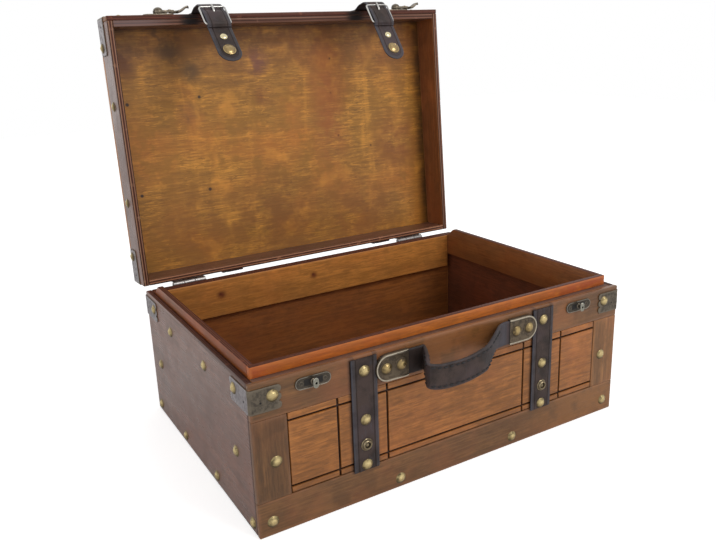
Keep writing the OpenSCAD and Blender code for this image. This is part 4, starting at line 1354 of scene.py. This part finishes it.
def make_nails():
    """Every row of nails has its own seed, from which its hammer marks follow."""
    brass = (old_brass(),)
    strap = [("front", -STRAP_X, FRONT - STRAP_T, z) for z in STRAP_NAIL_ZS]
    strap += [("back", -STRAP_X, BACK + STRAP_T, z) for z in STRAP_NAIL_ZS]
    lid = [("front", -(SIDE - 18.5), FRONT - 1, LID_BRACKET_NAIL_Z),
           ("back", -(SIDE - 18.5), BACK + 1, LID_BRACKET_NAIL_Z)]
    lid += [("left", -SIDE - 1, y, LID_BRACKET_NAIL_Z) for y in (FRONT + 28, BACK - 28)]
    lid += [("left", -SIDE, y, 150.65) for y in (FRONT + 85, BACK - 85)]
    over = [("top", -STRAP_X, y, LID_TOP + STRAP_T) for y in (-107.5, 0, 107.5)]
    over += [("back", -STRAP_X, BACK + STRAP_T, (LID_Z + LID_TOP) / 2)]
    held = [("front", x, room("handle_plates")[0][1], HANDLE_Z) for x in (-61.7, -76.5)]
    rows = (("body_nail", body_nail_places(), 11, brass, "trunk_body"),
            ("strap_nail", mirrored(strap), 111, brass, "trunk_body"),
            ("lid_nail", mirrored(lid), 211, brass, "lid"),
            ("lid_strap_nail", mirrored(over), 311, brass, "lid"),
            ("handle_nail", mirrored(held), 411, (dull_brass(),), "trunk_body"))
    for name, places, seed, finish, body in rows:
        heads = nails(places, seed).make(name + "_heads", finish, LID_OPEN if body == "lid" else None)
        done(heads, body, "nail_brass", name + "s")
    studs = Shape()
    profile = [(5.4, -0.2), (5.5, 0.3), (5.1, 0.75), (4.5, 0.8), (4.35, 1.3), (3.9, 2.1), (3.3, 2.45),
               (2.7, 2.1), (2.5, 1.2), (2.3, 0.5), (1.6, 0.45), (1.5, 1.2), (1.1, 1.45), (0.4, 1.5)]
    wear = [0, 0.5, 0.5, 0.1, 0.1, 0.6, 1, 0.6, 0, 0, 0, 0.4, 0.7, 0.7]
    dirt = [0.5, 0, 0, 0.5, 0.3, 0, 0, 0.1, 0.8, 1, 1, 0.3, 0, 0]
    for x in (-STRAP_X, STRAP_X):
        studs.include(turned(profile, 28, None, wear, dirt), facing("front", x, FRONT - STRAP_T, STUD_Z))
    done(studs.make("snap_stud_rings", (aged_brass(),)), "trunk_body", "bright_steel", "snap_studs")


# Height and thickness of a corner bracket, and its legs' length along the front and the side
BRACKET_H, BRACKET_T, FRONT_LEG, SIDE_LEG = 20.0, 1.0, 26.0, 36.0
BRACKET_Z, LID_BRACKET_Z = 107.0, 145.9


def bracket_plate(seed):
    """One pressed strip, bent round the corner at X = Y = 0, with three round lobes at both of its ends."""
    height, t = BRACKET_H, BRACKET_T
    lobe, curve = height / 6, 1.3
    bow = curve * math.pi / 4
    ends = (FRONT_LEG - curve + bow, SIDE_LEG - curve + bow)
    outline = []
    for side, end, order in ((1, ends[1], (1, 3, 5)), (-1, ends[0], (5, 3, 1))):
        for k in order:
            for i in range(9):
                a = side * (-math.pi / 2 + math.pi * i / 8)
                point = (side * (end - lobe + lobe * math.cos(a)), k * lobe + lobe * math.sin(a))
                if not outline or math.dist(point, outline[-1]) > 0.01:
                    outline.append(point)
    bm = prism(outline, -0.1, t)
    round_off(bm, level_edges(bm), 0.3)
    divide(bm, [bow * k / 4 for k in range(-4, 5)], 0)
    divide(bm, [-x for x in np.arange(3, ends[0] - 1, 2.0)] + list(np.arange(3, ends[1] - 1, 2.0)), 0)
    divide(bm, np.arange(2, height - 1, 2.0), 1)
    bm.verts.index_update()
    bm.normal_update()
    corners, wear = [], []
    for vert in bm.verts:
        u, v, h = vert.co
        rim = v < 0.6 or v > height - 0.6 or u > ends[1] - lobe or u < -ends[0] + lobe
        if h > t - 0.05 and not rim:
            h += 0.22 * noise.noise(Vector((u * 0.33, v * 0.33, seed)))
        if u < -bow:
            x, y = -curve + bow + u, h
        elif u > bow:
            x, y = h, -curve + bow - u
        else:
            a = math.pi / 4 - u / curve
            x, y = -curve + (curve + h) * math.cos(a), -curve + (curve + h) * math.sin(a)
        corners.append((x, y, v))
        wear.append(0.75 if rim and h > 0.1 else (0.5 if abs(u) < bow else 0.1))
    # The side legs' outer faces take a lighter metal: painted sheen.
    kinds = [2 if f.calc_center_median().x > bow and f.normal.z > 0.5 else 0 for f in bm.faces]
    shape = Shape()
    shape.add(corners, numbered_faces(bm), kinds, wear)
    bm.free()
    # Flat dark discs of painted shade where the nail holes are.
    shaded_hole_disc = turned([(0.85, 0.02), (0.85, 0.09), (0.5, 0.1)], 12, None, None, [1, 1, 1])
    shaded_hole_disc.kinds = [1] * len(shaded_hole_disc.faces)
    shape.include(shaded_hole_disc, Matrix.Translation((-8.5, t, height * 0.42)) @ Matrix.Rotation(-math.pi / 2, 4, "X"))
    shape.include(shaded_hole_disc, Matrix.Translation((t, -8.5, height * 0.42)) @ Matrix.Rotation(math.pi / 2, 4, "Y"))
    return shape


def brackets(z):
    shape = Shape()
    for sx in (-1, 1):
        for sy in (-1, 1):
            corner = Matrix.Translation((sx * SIDE, sy * BACK, z)) @ Matrix.Diagonal((sx, sy, 1, 1))
            shape.include(bracket_plate(sx + 2.3 * sy + z), corner)
    return shape


def make_brackets():
    finishes = (dark_metal(), hole_shade_metal(), side_sheen_metal())
    done(brackets(BRACKET_Z).make("corner_bracket_plates", finishes), "trunk_body", "dark_metal",
         "corner_brackets")
    done(brackets(LID_BRACKET_Z).make("lid_bracket_plates", finishes, LID_OPEN), "lid", "dark_metal",
         "lid_brackets")


def stadium(length, height, grow=0.0):
    """The outline of a plate with two round ends, grown outwards on all sides."""
    r = height / 2 + grow
    half = (length - height) / 2
    out = []
    for side, start in ((1, -math.pi / 2), (-1, math.pi / 2)):
        for i in range(11):
            a = start + math.pi * i / 10
            out.append((side * half + r * math.cos(a), r * math.sin(a)))
    return out


def pressed_plate():
    """A stadium plate with a rolled bright edge, a sunken dark field and a screw near each end."""
    length, height, t = 31.0, 10.0, 1.2
    grows = [0, 0, -0.15, -0.6, -1.0, -1.4]
    levels = [-0.1, t - 0.35, t, t, t - 0.35, t - 0.5]
    plate = stepped([stadium(length, height, g) for g in grows], levels, [0, 0, 1, 0, 0, 0],
                    [0.2, 0.4, 0.8, 0.7, 0.1, 0.0], [0.4, 0.2, 0, 0.2, 0.8, 0.75])
    screw = turned([(1.9, 0.4), (1.85, 0.78), (1.4, 0.95), (0.9, 0.6), (0.4, 0.45)], 16, None,
                   [0.2, 0.8, 0.4, 0, 0], [0.4, 0.1, 0.5, 1, 1])
    for side in (-1, 1):
        plate.include(screw, Matrix.Translation((side * (length / 2 - 5.2), 0, 0)))
    return plate


def make_catches():
    """Plates with two openings each, drawn as flat dark patches of painted shade, and the pins for the hooks,
    whose heads are long loops.
    """
    dark = dark_metal()
    plates, pins = Shape(), Shape()
    # A thin dark patch of painted shade where an opening is.
    painted_opening = slab(rectangle(-3.4, 3.4, -2.6, 2.6), 0.4, 0.86, "Z", 0.15, 0)
    painted_opening.kinds = [2] * len(painted_opening.faces)
    eyelet = turned([(1.5, 6.1), (1.35, 6.3), (1.0, 6.2), (0.8, 5.9), (0.3, 5.8)], 16, None,
                    [1, 1, 0.2, 0, 0], [0, 0, 0.8, 1, 1])
    neck = turned([(2.6, 0.5), (2.4, 1.2), (1.6, 1.7), (1.5, 4.6), (1.75, 5.05)], 18, None,
                  [0.5, 0.8, 0.5, 0.8, 0.7], [0.4, 0.1, 0, 0, 0])
    neck.kinds = [1] * len(neck.faces)
    outlines = [[(b, a) for a, b in stadium(8.6, 4.8, grow)] for grow in (-0.3, 0, 0, -0.3, -0.9)]
    loop = stepped(outlines, [4.95, 5.2, 5.75, 6.1, 6.1], None, [0.6, 0.8, 0.9, 0.8, 0.3], [0, 0, 0, 0, 0.15])
    for x in LATCH_XS:
        place = facing("front", x, FRONT, CATCH_Z)
        plates.include(pressed_plate(), place)
        plates.include(painted_opening, place @ Matrix.Translation((-4.4, 0, 0)))
        plates.include(painted_opening, place @ Matrix.Translation((5.0, 0, 0)))
        for part in (eyelet, neck, loop):
            pins.include(part, place)
    finishes = (dark, polished_edge(), hole_shade_metal())
    done(plates.make("catch_plate_pressings", finishes), "trunk_body", "dark_metal", "catch_plates")
    done(pins.make("catch_pin_loops", (dull_steel(), dark)), "trunk_body", "bright_steel", "catch_pins")


def hook_outline():
    """The blade seen flat: a round eye, a notch for the catch pin, and a rounded tip."""
    eye, reach, notch = 5.0, 17.5, 2.25
    outline = []
    for i in range(17):
        a = math.radians(50) + math.radians(260) * i / 16
        outline.append((eye * math.cos(a), eye * math.sin(a)))
    outline += [(8, -3.4), (reach - notch - 0.6, -4.0), (reach - notch, -3.6)]
    for i in range(9):
        a = math.pi - math.pi * i / 8
        outline.append((reach + notch * math.cos(a), notch * math.sin(a)))
    outline += [(reach + notch, -3.6), (reach + notch + 0.6, -4.0), (26, -4.0)]
    for i in range(1, 8):
        a = -math.pi / 2 + math.pi * i / 8
        outline.append((27.6 + 4.3 * math.cos(a), 3.9 * math.sin(a)))
    return outline + [(26, 4.0), (15, 4.1), (8, 3.6)]


def hook_shape():
    """The hook's blade, bowed along its length, and the knob over its eye, lying along +X from its pivot."""
    bm = prism(hook_outline(), -0.9, 1.9)
    round_off(bm, level_edges(bm), 0.4)
    divide(bm, range(9, 32), 0)
    bm.verts.index_update()
    corners, wear = [], []
    for v in bm.verts:
        x, y, z = v.co
        rise = eased(clamped((x - 21) / 9))
        bow = 0.8 * math.exp(-((x - 10.8) / 1.4) ** 2) + 4.0 * rise - 0.25 * max(0.0, x - 30) ** 2
        if z < 0:
            z += 0.9 * clamped((x - 21) / 9)
        corners.append((x, y, z + bow))
        wear.append(0.8 if z < 1.85 and abs(y) > 3.4 else 0.2)
    shape = Shape()
    shape.add(corners, numbered_faces(bm), 0, wear)
    bm.free()
    shape.include(turned([(4.4, 0.2), (4.5, 1.9), (4.1, 2.35), (3.4, 2.55)], 24, None,
                         [0.3, 0.5, 0.7, 0.3], [0.2, 0, 0, 0.3]))
    return shape


def make_latches():
    dark = dark_metal()
    plates, rivets = Shape(), Shape()
    profile = [(3.2, 1.0), (3.2, 2.5), (1.5, 2.6), (1.5, 4.85), (4.3, 4.85), (4.5, 5.2), (4.2, 5.9),
               (3.4, 6.7), (2.2, 7.4), (1.0, 7.75), (0.3, 7.8)]
    rivet = turned(profile, 24, None, [0.2, 0.3, 0, 0, 0.2, 0.7, 0.4, 0.6, 0.8, 0.9, 0.9],
                   [0.3, 0.2, 0.5, 0.5, 0.4, 0, 0.1, 0, 0, 0, 0])
    for x in LATCH_XS:
        place = facing("front", x, FRONT, LATCH_Z)
        plates.include(pressed_plate(), place)
        rivets.include(rivet, place)
    finishes = (dark, polished_edge())
    done(plates.make("latch_plate_pressings", finishes, LID_OPEN), "lid", "dark_metal", "latch_plates")
    done(rivets.make("latch_rivet_heads", (dark,), LID_OPEN), "lid", "dark_metal", "latch_rivets")
    for side, x in zip(("left", "right"), LATCH_XS):
        shape = Shape()
        shape.include(hook_shape(), facing("front", x, FRONT - 2.8, LATCH_Z))
        piece = shape.make(side + "_hook_blade", (dark,), LID_OPEN)
        done(piece, side + "_hook", "dark_metal", side + "_latch_hook")


def make_handle_plates():
    """Round-ended plates with a raised bright border, open at the straight end for the leather."""
    h, length, out = 23.5, 31.5, 4.2

    def outline(grow):
        r = h / 2 + grow
        pts = [(length, -r), (length, r)]
        for i in range(25):
            a = math.pi / 2 + math.pi * i / 24
            pts.append((h / 2 + r * math.cos(a), r * math.sin(a)))
        dense = []
        for a, b in zip(pts, pts[1:] + pts[:1]):
            count = 6 if math.dist(a, b) > 6 else 1
            for k in range(count):
                dense.append((a[0] + (b[0] - a[0]) * k / count, a[1] + (b[1] - a[1]) * k / count))
        return dense

    outlines = [outline(grow) for grow in (0, 0, -0.2, -0.8, -1.5, -2.1, -2.6)]
    raised = [-0.1, out - 0.9, out - 0.25, out, out - 0.15, out - 0.75, out - 0.85]
    field = [-0.1, out - 1.2, out - 0.85, out - 0.8, out - 0.8, out - 0.85, out - 0.85]
    heights = [[low if x > length - 0.5 else high for x, _ in points]
               for points, high, low in zip(outlines, raised, field)]
    plate = stepped(outlines, heights, [0, 0, 1, 1, 0, 0, 0], [0.1, 0.4, 1, 1, 0.5, 0, 0.1],
                    [0.6, 0.1, 0, 0, 0.2, 0.7, 0.2])
    seat = turned([(6.2, out - 1.0), (6.0, out - 0.55), (5.2, out - 0.3), (4.4, out - 0.4)], 24, None,
                  [0.1, 0.3, 0.1, 0], [0.7, 0.3, 0.8, 1])
    for d in (9.5, 24.3):
        plate.include(seat, Matrix.Translation((d, 0, 0)))
    shape = Shape()
    for side in (-1, 1):
        turn = Matrix(((-side, 0, 0, 0), (0, 0, -1, 0), (0, 1, 0, 0), (0, 0, 0, 1)))
        shape.include(plate, Matrix.Translation((side * HANDLE_PLATE_END, FRONT, HANDLE_Z)) @ turn)
    finishes = (aged_plate(), bright_rim())
    done(shape.make("handle_plate_pressings", finishes), "trunk_body", "plate_brass", "handle_plates")


def buckle_frame():
    """The bright wire frame, a rectangle with round corners that lies in the plane of its tab."""
    half, low, y, r = 13.35, -BUCKLE_L, BUCKLE_OUT, 2.6
    ring = []
    turns = ((half - r, -r, 0), (-half + r, -r, 90), (-half + r, low + r, 180), (half - r, low + r, 270))
    for cx, cz, start in turns:
        for i in range(7):
            a = math.radians(start + 90 * i / 6)
            ring.append((cx + r * math.cos(a), y, cz + r * math.sin(a)))
    return tube(closed_line(ring), 0.98, 12, closed=True, flat=0.9)


def buckle_prong():
    path = [(0.2, -9.6), (-0.5, -8.4), (-1.7, -6), (-1.9, -3), (-1.8, 0.4), (-1.6, 1.6)]
    line = smooth_line(in_plane([(BUCKLE_OUT + out, z) for out, z in path]), 0.8)
    return tube(line, 1.0, 12, taper=lambda t: 1.05 - 0.25 * max(0.0, (t - 0.6) / 0.4))


def make_buckles():
    profile = [(6.3, -0.2), (6.5, 0.35), (6.35, 0.9), (5.8, 1.2), (5.3, 1.1), (4.9, 1.15), (4.2, 1.5),
               (3.2, 1.85), (2.0, 2.08), (0.8, 2.15)]
    cap = turned(profile, 36, None, [0.2, 0.7, 1.0, 0.9, 0.1, 0.1, 0.3, 0.4, 0.4, 0.4],
                 [0.5, 0, 0, 0, 0.75, 0.5, 0, 0, 0, 0])
    head = turned([(3.6, -0.2), (3.75, 0.35), (3.5, 0.8), (2.8, 1.2), (1.8, 1.5), (0.6, 1.6)], 24, None,
                  [0.3, 0.7, 0.6, 0.8, 1, 1], [0.5, 0, 0.1, 0, 0, 0])
    for side, x in (("left", -STRAP_X), ("right", STRAP_X)):
        place = tab_place(x) @ Matrix.Translation((0, 0, -BUCKLE_AT * MM))
        parts = [("buckle_frame", buckle_frame(), steel(), "bright_steel", "buckle"),
                 ("buckle_prong", buckle_prong(), steel(), "bright_steel", "prong")]
        for name, part, at, finish, slot, node in (
                ("snap_cap", cap, SNAP_AT, snap_brass(), "nail_brass", "snap"),
                ("tab_rivet_head", head, RIVET_AT, pale_rivet(), "bright_steel", "tab_rivet")):
            shape = Shape()
            shape.include(part, facing("front", 0, -0.9, BUCKLE_AT - at))
            parts.append((name, shape, finish, slot, node))
        for name, shape, finish, slot, node in parts:
            piece = shape.make(side + "_" + name, (finish,), place)
            done(piece, side + "_strap_tab", slot, side + "_" + node)


def closed_line(points):
    pts = [Vector(p) for p in points]
    out = []
    for a, b in zip(pts, pts[1:] + pts[:1]):
        count = max(1, int((b - a).length / 1.5))
        for k in range(count):
            out.append(a.lerp(b, k / count))
    return out


def make_hinges():
    """Leaves screwed to the back, with arms that reach to the knuckles: two on the body, one on the lid."""
    finish = (hinge_steel(), hole_shade_metal())
    y0, z0, r = HINGE.y, HINGE.z, 3.2
    half, gap = 17.5, 0.3
    third = (2 * half - 2 * gap) / 3
    body, lid, pins = Shape(), Shape(), Shape()
    lying = Matrix.Rotation(math.pi / 2, 4, "Y")
    end = third / 2
    ring = turned([(1.6, -end), (r - 0.25, -end), (r, -end + 0.25), (r, end - 0.25), (r - 0.25, end),
                   (1.6, end)], 24, None, [0.3, 0.6, 0.9, 0.9, 0.6, 0.3])
    screw = turned([(2.4, 0.9), (2.4, 1.35), (1.9, 1.75), (1.0, 1.95), (0.3, 2.0)], 16, None,
                   [0.2, 0.6, 0.5, 0.8, 0.8], [0.6, 0.1, 0, 0, 0])
    rod = turned([(1.2, -18.2), (1.5, -17.9), (1.5, 17.9), (1.2, 18.2)], 20, None, [0.8, 0.8, 0.8, 0.8])

    def leaf(x, low, high):
        return slab(rectangle(x - half, x + half, low, high), BACK, BACK + 1.2, "Y", 0.25, 0)

    def arm(x, low, high):
        return slab(rectangle(x - end, x + end, low, high), BACK + 0.3, BACK + 1.5, "Y", 0.2, 0)

    for x in HINGE_XS:
        body.include(leaf(x, z0 - 18, z0 - 3.5))
        lid.include(leaf(x, z0 + 3.5, z0 + 18))
        for side in (-1, 1):
            middle = x + side * (third + gap)
            body.include(ring, Matrix.Translation((middle, y0, z0)) @ lying)
            body.include(arm(middle, z0 - 4.5, z0))
        lid.include(ring, Matrix.Translation((x, y0, z0)) @ lying)
        lid.include(arm(x, z0, z0 + 4.5))
        for shift in (-11, 11):
            body.include(screw, facing("back", x + shift, BACK, z0 - 10.5))
            lid.include(screw, facing("back", x + shift, BACK, z0 + 10.5))
        pins.include(rod, Matrix.Translation((x, y0, z0)) @ lying)
    done(body.make("body_hinge_halves", finish), "trunk_body", "hinge_steel", "body_hinge_leaves")
    done(lid.make("lid_hinge_halves", finish, LID_OPEN), "lid", "hinge_steel", "lid_hinge_leaves")
    done(pins.make("hinge_rods", finish), "trunk_body", "hinge_steel", "hinge_pins")


# Studio


def make_floor(scene):
    """A wide pale sheet, brighter only where it is looked at, so that it stays white round the shadow."""
    f = Finish("paper_floor")
    ray = f.tree.nodes.new("ShaderNodeLightPath").outputs["Is Camera Ray"]
    paper = f.cloud(f.place, 3, 2, 0.5)
    body = f.mix(f.between(paper, 0.3, 0.7), tint(244, 244, 244), tint(250, 250, 250))
    f.put(f.shader.inputs["Emission Color"], (1, 1, 1))
    f.put(f.shader.inputs["Emission Strength"], f.maths("MULTIPLY", ray, 0.55))
    f.finish(body, 0.9)
    floor = bpy.data.meshes.new("studio_floor")
    n, size, low = 24, 3.0, -0.0004
    places = [-size + 2 * size * i / n for i in range(n + 1)]
    corners = [(x, y, low) for y in places for x in places]
    faces = [(j * (n + 1) + i, j * (n + 1) + i + 1, (j + 1) * (n + 1) + i + 1, (j + 1) * (n + 1) + i)
             for j in range(n) for i in range(n)]
    floor.from_pydata(corners, [], faces)
    floor.materials.append(f.material)
    sheet = bpy.data.objects.new("studio_floor", floor)
    scene.collection.objects.link(sheet)


def make_sky(scene, strength):
    """Even light from all around, and plain white wherever the sky itself is seen or mirrored."""
    world = bpy.data.worlds.new("studio_sky")
    scene.world = world
    world.use_nodes = True
    tree = world.node_tree
    tree.nodes.clear()
    out = tree.nodes.new("ShaderNodeOutputWorld")
    path = tree.nodes.new("ShaderNodeLightPath")
    seen = path.outputs["Is Camera Ray"]
    for other in ("Is Glossy Ray", "Is Transmission Ray"):
        either = tree.nodes.new("ShaderNodeMath")
        either.operation = "MAXIMUM"
        tree.links.new(seen, either.inputs[0])
        tree.links.new(path.outputs[other], either.inputs[1])
        seen = either.outputs[0]
    both = tree.nodes.new("ShaderNodeMixShader")
    tree.links.new(seen, both.inputs[0])
    for slot, power in ((1, strength), (2, 1.0)):
        light = tree.nodes.new("ShaderNodeBackground")
        light.inputs["Color"].default_value = (1, 1, 1, 1)
        light.inputs["Strength"].default_value = power
        tree.links.new(light.outputs[0], both.inputs[slot])
    tree.links.new(both.outputs[0], out.inputs["Surface"])


def make_lamp(scene, name, power, size, place, colour):
    """A soft lamp that looks at the middle of the trunk."""
    data = bpy.data.lights.new(name, "AREA")
    data.energy = power
    data.shape = "RECTANGLE"
    data.size, data.size_y = size
    data.color = colour
    lamp = bpy.data.objects.new(name, data)
    scene.collection.objects.link(lamp)
    way = Vector((0, 0, 0.15)) - Vector(place)
    lamp.matrix_world = Matrix.Translation(place) @ way.to_track_quat("-Z", "Y").to_matrix().to_4x4()


def make_camera(scene):
    """The camera that was fitted to the photograph: its turn as an axis times an angle, and its place."""
    turn = Vector((1.8009, -0.516, 0.3334))
    r = Matrix.Rotation(turn.length, 3, turn.normalized())
    pose = Matrix((r[0], -r[1], -r[2])).transposed().to_4x4()
    pose.translation = Vector((-0.3729, -0.6062, 0.3722))
    data = bpy.data.cameras.new("view_of_the_trunk")
    data.sensor_width = 36.0
    data.lens = 37.80
    data.shift_x, data.shift_y = 0.00807, -0.01309
    data.clip_start, data.clip_end = 0.02, 20
    camera = bpy.data.objects.new("view_of_the_trunk", data)
    scene.collection.objects.link(camera)
    camera.matrix_world = pose
    scene.camera = camera


def make_studio():
    scene = bpy.context.scene
    s = scene.trunk_studio
    make_floor(scene)
    make_sky(scene, s.sky)
    make_lamp(scene, "key_softbox", s.key, (0.9, 0.9), (0.75, -1.5, 1.8), (1.0, 0.985, 0.96))
    make_lamp(scene, "fill_softbox", s.fill, (1.4, 1.0), (-1.9, -0.7, 0.9), (0.97, 0.985, 1.0))
    make_camera(scene)
    scene.view_settings.view_transform = "Standard"


# Operators, panel and registration


class TRUNK_OT_body_boards(bpy.types.Operator):
    """Build the boards of the body: walls, bottom, front frame, grooved panel and liners"""
    bl_idname = "trunk.body_boards"
    bl_label = "Body boards"

    def execute(self, context):
        make_body_boards()
        return {"FINISHED"}


class TRUNK_OT_lid_boards(bpy.types.Operator):
    """Build the boards of the lid"""
    bl_idname = "trunk.lid_boards"
    bl_label = "Lid boards"

    def execute(self, context):
        make_lid_boards()
        return {"FINISHED"}


class TRUNK_OT_body_straps(bpy.types.Operator):
    """Build the leather straps of the body"""
    bl_idname = "trunk.body_straps"
    bl_label = "Body straps"

    def execute(self, context):
        make_body_straps()
        return {"FINISHED"}


class TRUNK_OT_lid_straps(bpy.types.Operator):
    """Build the leather straps of the lid with their hanging tabs"""
    bl_idname = "trunk.lid_straps"
    bl_label = "Lid straps and tabs"

    def execute(self, context):
        make_lid_straps()
        return {"FINISHED"}


class TRUNK_OT_handle(bpy.types.Operator):
    """Build the stitched leather handle"""
    bl_idname = "trunk.handle"
    bl_label = "Handle leather"

    def execute(self, context):
        make_handle()
        return {"FINISHED"}


class TRUNK_OT_handle_plates(bpy.types.Operator):
    """Build the metal plates that hold the handle"""
    bl_idname = "trunk.handle_plates"
    bl_label = "Handle plates"

    def execute(self, context):
        make_handle_plates()
        return {"FINISHED"}


class TRUNK_OT_nails(bpy.types.Operator):
    """Build the hammered dome nails and the snap studs"""
    bl_idname = "trunk.nails"
    bl_label = "Nails and studs"

    def execute(self, context):
        make_nails()
        return {"FINISHED"}


class TRUNK_OT_brackets(bpy.types.Operator):
    """Build the scalloped corner brackets"""
    bl_idname = "trunk.brackets"
    bl_label = "Corner brackets"

    def execute(self, context):
        make_brackets()
        return {"FINISHED"}


class TRUNK_OT_catches(bpy.types.Operator):
    """Build the catch plates and their pins"""
    bl_idname = "trunk.catches"
    bl_label = "Catches"

    def execute(self, context):
        make_catches()
        return {"FINISHED"}


class TRUNK_OT_latches(bpy.types.Operator):
    """Build the latch plates, rivets and hooks"""
    bl_idname = "trunk.latches"
    bl_label = "Latches"

    def execute(self, context):
        make_latches()
        return {"FINISHED"}


class TRUNK_OT_buckles(bpy.types.Operator):
    """Build the buckles, prongs, snap caps and rivets of the tabs"""
    bl_idname = "trunk.buckles"
    bl_label = "Buckles and snaps"

    def execute(self, context):
        make_buckles()
        return {"FINISHED"}


class TRUNK_OT_hinges(bpy.types.Operator):
    """Build the two hinges"""
    bl_idname = "trunk.hinges"
    bl_label = "Hinges"

    def execute(self, context):
        make_hinges()
        return {"FINISHED"}


class TRUNK_OT_studio(bpy.types.Operator):
    """Set up the floor, the light and the camera"""
    bl_idname = "trunk.studio"
    bl_label = "Studio"

    def execute(self, context):
        make_studio()
        return {"FINISHED"}


OPERATORS = (TRUNK_OT_body_boards, TRUNK_OT_lid_boards, TRUNK_OT_body_straps, TRUNK_OT_lid_straps,
             TRUNK_OT_handle, TRUNK_OT_handle_plates, TRUNK_OT_nails, TRUNK_OT_brackets, TRUNK_OT_catches,
             TRUNK_OT_latches, TRUNK_OT_buckles, TRUNK_OT_hinges, TRUNK_OT_studio)
SETTINGS = (("trunk_boards", TrunkBoardSettings), ("trunk_leather", TrunkLeatherSettings),
            ("trunk_metal", TrunkMetalSettings), ("trunk_studio", TrunkStudioSettings))


class TRUNK_PT_sidebar(bpy.types.Panel):
    bl_label = "Storage trunk"
    bl_idname = "TRUNK_PT_sidebar"
    bl_space_type = "VIEW_3D"
    bl_region_type = "UI"
    bl_category = "Trunk"

    def draw(self, context):
        layout = self.layout
        for name, group in SETTINGS:
            block = layout.box()
            for key in group.__annotations__:
                block.prop(getattr(context.scene, name), key)
        for operator in OPERATORS:
            layout.operator(operator.bl_idname)


CLASSES = tuple(group for _, group in SETTINGS) + OPERATORS + (TRUNK_PT_sidebar,)


def register():
    for cls in CLASSES:
        bpy.utils.register_class(cls)
    for name, group in SETTINGS:
        setattr(bpy.types.Scene, name, PointerProperty(type=group))


def unregister():
    for name, _ in SETTINGS:
        delattr(bpy.types.Scene, name)
    for cls in reversed(CLASSES):
        bpy.utils.unregister_class(cls)


def main():
    register()
    for operator in OPERATORS:
        group, name = operator.bl_idname.split(".")
        getattr(getattr(bpy.ops, group), name)()


if __name__ == "__main__":
    main()
